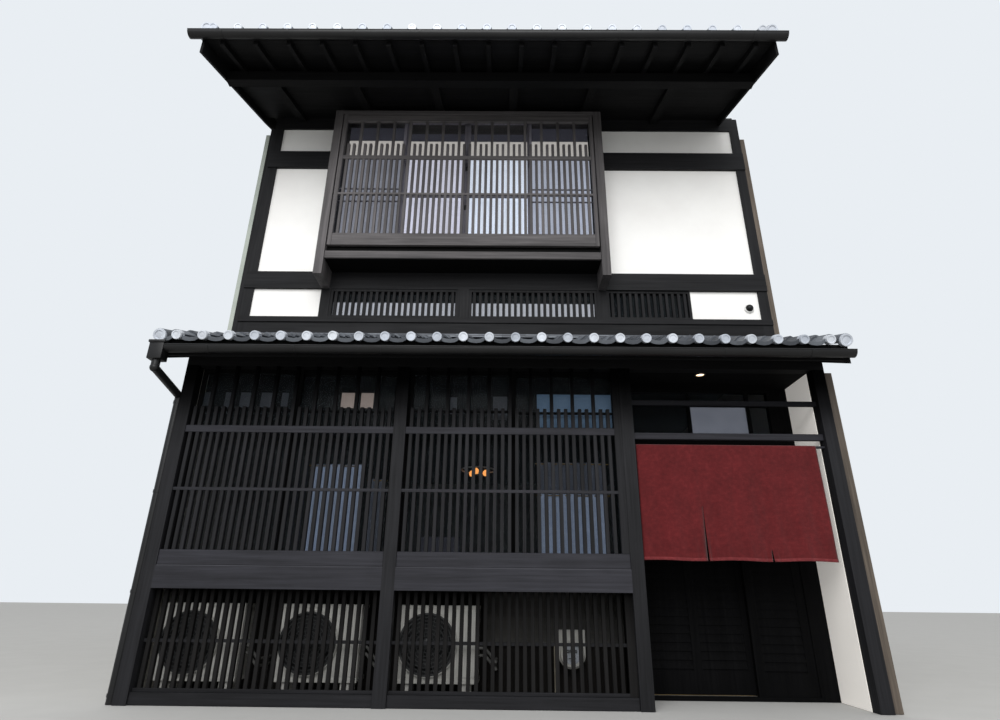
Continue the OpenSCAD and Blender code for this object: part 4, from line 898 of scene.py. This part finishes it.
def norenPoint(u, v, side):
    s, wrap = v * norenLength, noren["wrap"]
    if s > hang:  # around the pole and down behind it
        angle = (s - hang) / wrap
        x = noren["leftTop"] + u * norenWidth
        if angle <= math.pi:
            return Vector((x, -wrap * math.cos(angle), noren["poleZ"] + wrap * math.sin(angle)))
        return Vector((x, wrap, noren["poleZ"] - (s - hang - math.pi * wrap)))
    fall = 1 - s / hang
    left = noren["leftTop"] + (noren["leftFoot"] - noren["leftTop"]) * fall
    right = noren["rightTop"] + (noren["rightFoot"] - noren["rightTop"]) * fall
    x = left + u * (right - left)
    z = noren["poleZ"] - fall * hang
    swell = fall ** 0.8
    y = -wrap - 0.004 * swell
    y += swell * (0.007 * math.sin(math.tau * (u * 3.1 + 0.13))
                  + 0.004 * math.sin(math.tau * (u * 7.3 + 0.4 + 0.25 * fall)))
    y += swell * 0.002 * math.sin(math.tau * (u * 17 + 0.7 * math.sin(3 * fall)))
    z += swell * 0.004 * math.sin(math.tau * (u * 2.6 + 0.05))
    for at, top in noren["slits"]:
        parted = max(0.0, (top - z) / (top - noren["foot"]))
        near = math.exp(-abs(u - at) / 0.035)
        if parted > 0:
            y += near * parted * (-0.016 if side > 0 else 0.008)
            x += near * parted * side * 0.004
        else:
            y += 0.003 * math.exp(-abs(u - at) / 0.008)
    return Vector((x, y, z))


def hangSheet(name, across, down, point, finish, slot, thick, slits=(), stands=()):
    bm = bmesh.new()
    bm.loops.layers.uv.new("UVMap")
    bmesh.ops.create_grid(bm, x_segments=across, y_segments=down, size=0.5, calc_uvs=True)
    for at, share in slits:  # edges on a slit's line and below its top come apart
        bmesh.ops.split_edges(bm, edges=[edge for edge in bm.edges if all(
            abs(vert.co.x + 0.5 - at) < 0.001 and vert.co.y + 0.5 < share for vert in edge.verts)])
    moved = []
    for vert in bm.verts:
        middle = sum(face.calc_center_median().x for face in vert.link_faces) / len(vert.link_faces)
        moved.append((vert, point(vert.co.x + 0.5, vert.co.y + 0.5, 1 if middle > vert.co.x else -1)))
    for vert, place in moved:
        vert.co = place
    made = piece(name, bm, [finish], slot=slot, stands=stands, smooth=80)
    wall = made.modifiers.new("cloth", "SOLIDIFY")
    wall.thickness = thick
    wall.offset = 0
    return made


def hemPoint(u, v, side):
    return norenPoint(u, v * noren["hem"] / norenLength, side) + Vector(noren["hemStep"])


linen = clothFinish("slubbedLinen", (norenWidth, norenLength), 260, (72, 18, 21), (87, 23, 26), (104, 34, 36), 26)
hemLinen = clothFinish("hemLinen", (norenWidth, 0.03), 260, (86, 27, 30), (107, 38, 41), (130, 58, 60), 30)
norenPiece = hangSheet("norenCloth", noren["across"], noren["down"], norenPoint, linen, "curtain_cloth", noren["thick"],
                       [(at, (top - noren["foot"]) / norenLength) for at, top in noren["slits"]], ["curtain"])
hemPiece = hangSheet("norenHem", noren["across"], 3, hemPoint, hemLinen, "curtain_cloth", noren["hemThick"],
                     [(at, 2) for at, top in noren["slits"]])
print("entrance curtain hung")

# sheer curtains behind the street lattices and the bay window, gathered on thin rods
sheer = {"foldPitch": 0.085, "foldDepth": 0.017, "thick": 0.0008, "down": 12, "map": (0.8, 1.0), "thread": 300,
         "slub": 9, "rodRadius": 0.006, "rodDrop": 0.012, "rodReach": 0.03}
# the sheers glow with painted light in place of the daylight through them
cloths = {name: clothFinish(name, sheer["map"], sheer["thread"], dark, middle, light, sheer["slub"], glow)
          for name, dark, middle, light, glow in (
              ("roomWhite", (122, 138, 168), (146, 162, 192), (168, 184, 210), 0.2),
              ("roomGrey", (76, 82, 94), (92, 98, 112), (110, 116, 130), 0.08),
              ("bayWhite", (196, 198, 218), (216, 218, 236), (232, 233, 248), 0.8),
              ("bayBright", (206, 218, 242), (222, 232, 252), (234, 242, 255), 0.95),
              ("bayMist", (164, 172, 194), (188, 196, 216), (208, 215, 232), 0.68),
              ("bayGreyCloth", (136, 140, 154), (158, 162, 176), (180, 184, 198), 0.46))}


def gathered(name, x0, x1, z0, z1, y, finish):
    folds = round((x1 - x0) / sheer["foldPitch"])
    phase = random.random()

    def point(u, v, side):
        depth = sheer["foldDepth"] * (0.55 + 0.45 * (1 - v))
        swing = math.sin(math.tau * (u * folds + phase)) + 0.3 * math.sin(math.tau * (u * folds * 0.37 + 2 * phase))
        return Vector((x0 + u * (x1 - x0), y + depth * swing, z0 + v * (z1 - z0)))

    steps = folds * 10
    made = hangSheet(name, steps, sheer["down"], point, cloths[finish], None, sheer["thick"])
    bm = bmesh.new()
    rodZ = z1 - sheer["rodDrop"]
    addRod(bm, (x0 - sheer["rodReach"], y, rodZ), (x1 + sheer["rodReach"], y, rodZ), sheer["rodRadius"], 10)
    rod = piece(name + "Rod", bm, [wornBrass], smooth=40)


streetY, bayY = 0.145, 0.575
for name, x0, x1, z0, z1, y, finish in (
        ("streetCurtainLeft", -1.671, -1.235, 1.02, 1.829, streetY, "roomWhite"),
        ("streetCurtainEdge", -1.152, -1.038, 1.02, 1.704, streetY, "roomGrey"),
        ("streetCurtainRight", 0.311, 0.893, 1.02, 1.59, streetY, "roomWhite"),
        ("streetCurtainTop", 0.311, 0.893, 1.6, 1.87, streetY + 0.03, "roomGrey"),
        ("bayCurtainLeft", -1.88, -1.20, 4.15, 5.603, bayY, "bayGreyCloth"),
        ("bayCurtainMiddleLeft", -1.17, -0.47, 4.15, 5.59, bayY, "bayWhite"),
        ("bayCurtainMiddleRight", -0.43, 0.27, 4.15, 5.59, bayY, "bayBright"),
        ("bayCurtainRight", 0.30, 0.98, 4.15, 5.603, bayY, "bayMist")):
    gathered(name, x0, x1, z0, z1, y, finish)

# painted reflections at the upper lights of the street windows, with painted shade behind them; paper over the bay's
# curtains and inside the rear windows, glowing with painted light
paperAndPaintedSheets = {"y": 0.15, "thick": 0.003, "paintedShadeBacking": (2.14, 2.68), "bayStep": 0.02, "rearX": 1.4, "rearHalf": 0.44,
          "rearHigh": 1.1, "street": (
              (0.301, 0.976, 2.183, 2.495, 0), (-1.49, -1.365, 2.35, 2.495, 1), (-1.31, -1.195, 2.35, 2.495, 1),
              (-2.56, -2.51, 2.35, 2.49, 2), (-2.42, -2.33, 2.35, 2.49, 2), (-2.23, -2.13, 2.35, 2.49, 2),
              (-2.76, -2.70, 2.36, 2.49, 2), (-2.04, -1.98, 2.36, 2.49, 2), (-0.49, -0.43, 2.30, 2.46, 2),
              (-0.10, 0.03, 2.25, 2.47, 2)),
          "bay": ((-1.88, -1.20, 5.62, 5.841, 3), (0.30, 0.98, 5.62, 5.841, 3), (-1.88, -1.20, 5.85, 6.04, 5),
                  (0.30, 0.98, 5.85, 6.04, 5), (-1.17, -0.47, 5.60, 5.835, 3), (-0.43, 0.27, 5.60, 5.835, 3),
                  (-1.17, -0.47, 5.842, 5.95, 5), (-0.43, 0.27, 5.842, 5.95, 5))}
y, thick = paperAndPaintedSheets["y"], paperAndPaintedSheets["thick"]
sheets = [((x0, y, low), (x1, y + thick, high), material) for x0, x1, low, high, material in paperAndPaintedSheets["street"]]
# near-black backing behind the upper lights of the street windows: painted shade of the room
sheets += [((x0, y + 2 * thick, paperAndPaintedSheets["paintedShadeBacking"][0]), (stile, y + 4 * thick, paperAndPaintedSheets["paintedShadeBacking"][1]), 4)
           for x0, x1, stile in front["bays"]]
y = bayY + paperAndPaintedSheets["bayStep"]
sheets += [((x0, y, low), (x1, y + thick, high), material) for x0, x1, low, high, material in paperAndPaintedSheets["bay"]]
rearLow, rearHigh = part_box("rear_windows")
half, y = paperAndPaintedSheets["rearHalf"], rearLow.y - 0.03
sheets += [((x - half, y, z + 0.01), (x + half, y + thick, z + paperAndPaintedSheets["rearHigh"] - 0.01), 5)
           for x in (-paperAndPaintedSheets["rearX"], paperAndPaintedSheets["rearX"]) for z in (rearLow.z, rearHigh.z - paperAndPaintedSheets["rearHigh"])]
blockPiece("paperAndPaintedLightSheets", [skyReflectionSheet, warmReflectionSheet, greyReflectionSheet, bandPaper, paintedShadeBoard, mistPaper], sheets)
print("sheer curtains hung")

# outdoor units: bodies on feet with a stay to the wall, fan guards, blades, dark discs for the fans' hollows as painted
# shade, lids and side fins
unit = {"centres": (-2.368, -1.436, -0.504), "half": 0.32, "height": 0.55, "face": 0.1025, "foot": 0.145,
        "depth": 0.27, "fanShift": -0.08, "radius": 0.224, "proud": 0.024, "rings": 8, "spokes": 20, "spoke": 0.0024,
        "footHalf": 0.035, "footShift": 0.23, "wall": 0.44, "fins": 9, "finStep": 0.042, "finHigh": 0.016,
        "blades": 3, "bladeReach": 0.135, "hub": 0.05}
bm, blades, trims, bodies, wellShades = (bmesh.new() for _ in range(5))
near, back = unit["face"], unit["face"] + unit["depth"]
foot, top = unit["foot"], unit["foot"] + unit["height"]
fanZ = foot + unit["height"] / 2
for centreX in unit["centres"]:
    fanX, rim = centreX + unit["fanShift"], unit["radius"]
    x0, x1 = centreX - unit["half"], centreX + unit["half"]
    addBlock(bodies, (x0, near, foot), (x1, back, top), 0, 0.008)
    for side in (-1, 1):
        x = centreX + side * unit["footShift"]
        addBlock(bodies, (x - unit["footHalf"], near + 0.02, 0), (x + unit["footHalf"], back - 0.02, foot), 0, 0.004)
    addBlock(bodies, (x - 0.03, back, 0.4), (x + 0.03, unit["wall"], 0.5), 0, 0.004)
    addTurned(trims, [(rim + 0.013, -0.001), (rim + 0.008, unit["proud"]), (rim, unit["proud"]), (rim - 0.004, 0.0)],
              facing((fanX, near, fanZ)), 48, closed=True)
    hub = facing((fanX, near - unit["proud"] + 0.006, fanZ))
    for ring in range(unit["rings"]):
        radius = rim * (ring + 1.2) / (unit["rings"] + 0.4)
        width = 0.007 if ring == unit["rings"] - 1 else 0.0028
        addTurned(bm, [(radius - width, 0.004), (radius + width, 0.004), (radius + width, 0.009),
                       (radius - width, 0.009)], hub, 40, closed=True)
    for spoke in range(unit["spokes"]):
        angle = math.tau * spoke / unit["spokes"]
        across = Vector((math.cos(angle), 0, math.sin(angle)))
        centre = Vector((fanX, near - unit["proud"], fanZ))
        addRod(bm, centre + across * 0.035, centre + across * rim * 0.99, unit["spoke"], 6)
    addTurned(bm, [(0, 0.012), (0.03, 0.012), (0.038, 0.008), (0.038, 0.001), (0, 0.001)], hub, 24)
    addTurned(blades, [(0, -0.004), (0.05, -0.004), (0.055, -0.01), (0.055, -0.016), (0, -0.016)], hub, 20)
    for blade in range(unit["blades"]):
        made = bmesh.ops.create_grid(blades, x_segments=8, y_segments=4, size=0.5)
        for vert in made["verts"]:
            radius = unit["hub"] + (vert.co.x + 0.5) * unit["bladeReach"]
            swing = vert.co.y * (0.9 + 0.5 * (vert.co.x + 0.5)) + blade * math.tau / unit["blades"] + 0.35 * vert.co.x
            vert.co = Vector((fanX + radius * math.cos(swing), near - 0.008 + 0.008 * vert.co.y,
                              fanZ + radius * math.sin(swing)))
    for low, high, bevel in (
            ((x0 - 0.004, near - 0.004, top - 0.022), (x1 + 0.004, back + 0.004, top + 0.003), 0.002),
            ((x0 - 0.003, near - 0.003, foot), (x1 + 0.003, back + 0.003, foot + 0.03), 0.002),
            ((x1 - 0.16, near - 0.003, foot + 0.045), (x1 - 0.014, near + 0.001, top - 0.034), 0.0015)):
        addBlock(trims, low, high, 0, bevel)
    for fin in range(unit["fins"]):
        z = foot + 0.1 + fin * unit["finStep"]
        addBlock(trims, (x0 - 0.004, near + 0.04, z), (x0 + 0.001, near + 0.2, z + unit["finHigh"]), 0, 0.0015)
    # a dark disc stands for the hollow behind each fan: painted shade
    addRod(wellShades, (fanX, near - 0.001, fanZ), (fanX, near + 0.004, fanZ), rim - 0.002, 40)
piece("fanGuards", bm, [grilleFinish], slot="pale_casing", smooth=40)
bmesh.ops.recalc_face_normals(blades, faces=blades.faces)
made = piece("fanBlades", blades, [fanDark], smooth=40)
wall = made.modifiers.new("blade", "SOLIDIFY")
wall.thickness = 0.003
piece("unitTrim", trims, [casingFinish], slot="pale_casing")
piece("unitBodies", bodies, [casingFinish], slot="pale_casing", stands=["outdoor_units"], smooth=40)
piece("fanWellShades", wellShades, [fanDark])

# meter: rim, glass face and a dial with a window, with a pipe beside it
meter = {"x": 0.57, "z": 0.34, "face": 0.35, "pipeShift": -0.122, "pipeY": 0.425}
bm = bmesh.new()
x, y, z = meter["x"], meter["face"], meter["z"]
hub = facing((x, y, z))
addTurned(bm, [(0.075, 0.0), (0.1, 0.0), (0.1, 0.02), (0.094, 0.028), (0.08, 0.028), (0.075, 0.02)], hub, 40,
          closed=True)
addTurned(bm, [(0, 0.004), (0.075, 0.004), (0.075, 0.0), (0, 0.0)], hub, 40, material=1)
addTurned(bm, [(0, 0.03), (0.03, 0.028), (0.06, 0.022), (0.078, 0.012)], hub, 40, material=2)
addBlock(bm, (x - 0.04, y - 0.012, z + 0.008), (x + 0.04, y - 0.003, z + 0.034), 3, 0.002)
addBlock(bm, (x - 0.03, y - 0.010, z - 0.034), (x + 0.03, y - 0.003, z - 0.028), 3, 0.001)
x += meter["pipeShift"]
addRod(bm, (x, meter["pipeY"], 0.03), (x, meter["pipeY"], 0.93), 0.011, 14)
for z in (0.2, 0.62):
    addBlock(bm, (x - 0.02, 0.41, z), (x + 0.02, 0.44, z + 0.02), 0, 0.003)
piece("meterFace", bm, [casingFinish, paperPanel, dialGlass, fanDark], slot="pale_casing", smooth=40)
print("niche equipment dressed")

# small fittings: porch light, wall dome, catches, door pull
bm = bmesh.new()
down = Matrix.Translation((1.8, 0.09, 2.68)) @ turned(180, "X")
addTurned(bm, [(0.036, 0.0), (0.052, 0.0), (0.05, 0.006), (0.037, 0.008)], down, 32, closed=True)
addTurned(bm, [(0, 0.003), (0.036, 0.002)], down, 32, 1)
piece("porchLight", bm, [blackMetal, warmLens], smooth=40)

bm = bmesh.new()
dome = facing((2.64, 0.7245, 3.682))
addTurned(bm, [(0, 0.0), (0.052, 0.0), (0.052, 0.012), (0.047, 0.02), (0.04, 0.02)], dome, 32)
addTurned(bm, [(0.04, 0.02), (0.036, 0.038), (0.026, 0.052), (0.012, 0.059), (0, 0.06)], dome, 32, 1)
piece("wallDome", bm, [whiteShell, blackMetal], smooth=50)

bm = bmesh.new()
for z in (5.335, 4.8):
    addBlock(bm, (-0.464, 0.474, z - 0.03), (-0.436, 0.4835, z + 0.03), 0, 0.003)
    addRod(bm, (-0.45, 0.47, z - 0.012), (-0.45, 0.47, z + 0.02), 0.006)
piece("bayCatch", bm, [blackMetal], smooth=40)

bm = bmesh.new()
addTurned(bm, [(0, -0.004), (0.018, -0.004), (0.022, 0.002), (0.026, 0.002), (0.027, -0.001), (0.027, -0.006),
               (0, -0.006)], facing((1.188, 0.5455, 1.0)), 28)
piece("doorPull", bm, [wornBrass], body="door", smooth=40)

# trims beside the corner posts; panels behind the transom, in the porch and behind the vents, which glow with painted
# light; felt in the niche
blockPiece("leftTrim", [paleTrim, upperUp], [((-2.955, 0.700, 3.02), (-2.909, 0.752, 6.02), 0, 0.002),
                                             ((-2.909, 0.7045, 3.02), (-2.8605, 0.8, 6.12), 1, 0.002)])
blockPiece("rightTrim", [greyBoards], [((2.8605, 0.71, 3.1), (2.918, 0.74, 6.0), 0, 0.002),
                                       ((2.8605, -0.03, 0.0), (2.935, 0.012, 2.66), 0, 0.002)])
blockPiece("transomPanel", [transomPaper], [((1.81, 0.5165, 2.175), (2.348, 0.5195, 2.4995))])
blockPiece("porchPaintedLight", [porchPaintedLight], [((2.7505, 0.0545, 0.0005), (2.7549, 0.4795, 2.6795))])
blockPiece("ventPanels", [ventPaper], [((x0, 0.7625, 3.566), (x1, 0.7685, 3.745))
                                       for x0, x1 in ((-1.877, -0.538), (-0.362, 0.977))])
blockPiece("nicheFelt", [felt], [((-0.13, 0.4, 0.402), (1.016, 0.406, 0.954))])

# upright pipe beside the meter, and short coolant pipes at the side of each unit
bm = bmesh.new()
addRod(bm, (0.437, 0.33, 0.0), (0.437, 0.33, 0.405), 0.016, 16)
for x in unit["centres"]:
    for z in (0.39, 0.34):
        for start, end in (((0.322, 0.16, z), (0.375, 0.16, z)), ((0.372, 0.16, z), (0.46, 0.16, z - 0.1)),
                           ((0.458, 0.16, z - 0.095), (0.458, unit["wall"], z - 0.095))):
            addRod(bm, (x + start[0], *start[1:]), (x + end[0], *end[1:]), 0.011, 12, 1)
piece("nichePipe", bm, [beigePipe, greyPipe], smooth=40)

# lamp in the front room, hung on a thin stem
roomLamp = {"place": (-0.281, 1.5, 2.058), "arms": 3, "turn": 0.3, "reach": 0.18, "stemTop": 3.15}
bm = bmesh.new()
place = Vector(roomLamp["place"])
addTurned(bm, [(0.178, 0.0), (0.186, 0.0), (0.186, 0.012), (0.178, 0.012)], Matrix.Translation(place), 48, 2,
          closed=True)
hub = place + Vector((0, 0, 0.006))
for arm in range(roomLamp["arms"]):
    angle = math.tau * arm / roomLamp["arms"] + roomLamp["turn"]
    out = Vector((math.cos(angle), math.sin(angle), 0))
    addRod(bm, hub, hub + out * roomLamp["reach"], 0.005, 8)
    addTurned(bm, [(0, -0.052), (0.024, -0.046), (0.034, -0.024), (0.03, 0.0), (0.014, 0.016), (0, 0.018)],
              Matrix.Translation(hub + out * roomLamp["reach"] / 2 + Vector((0, 0, -0.01))), 18, 1)
addRod(bm, place, (place.x, place.y, roomLamp["stemTop"]), 0.006, 10)
piece("roomLamp", bm, [blackMetal, bulbGlow, whiteShell], smooth=40)
print("fittings placed")

low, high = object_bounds()
{"cad": [list(cadLow), list(cadHigh)], "visual": [list(low), list(high)]}
print("object", [round(c, 3) for c in (*low, *high)])
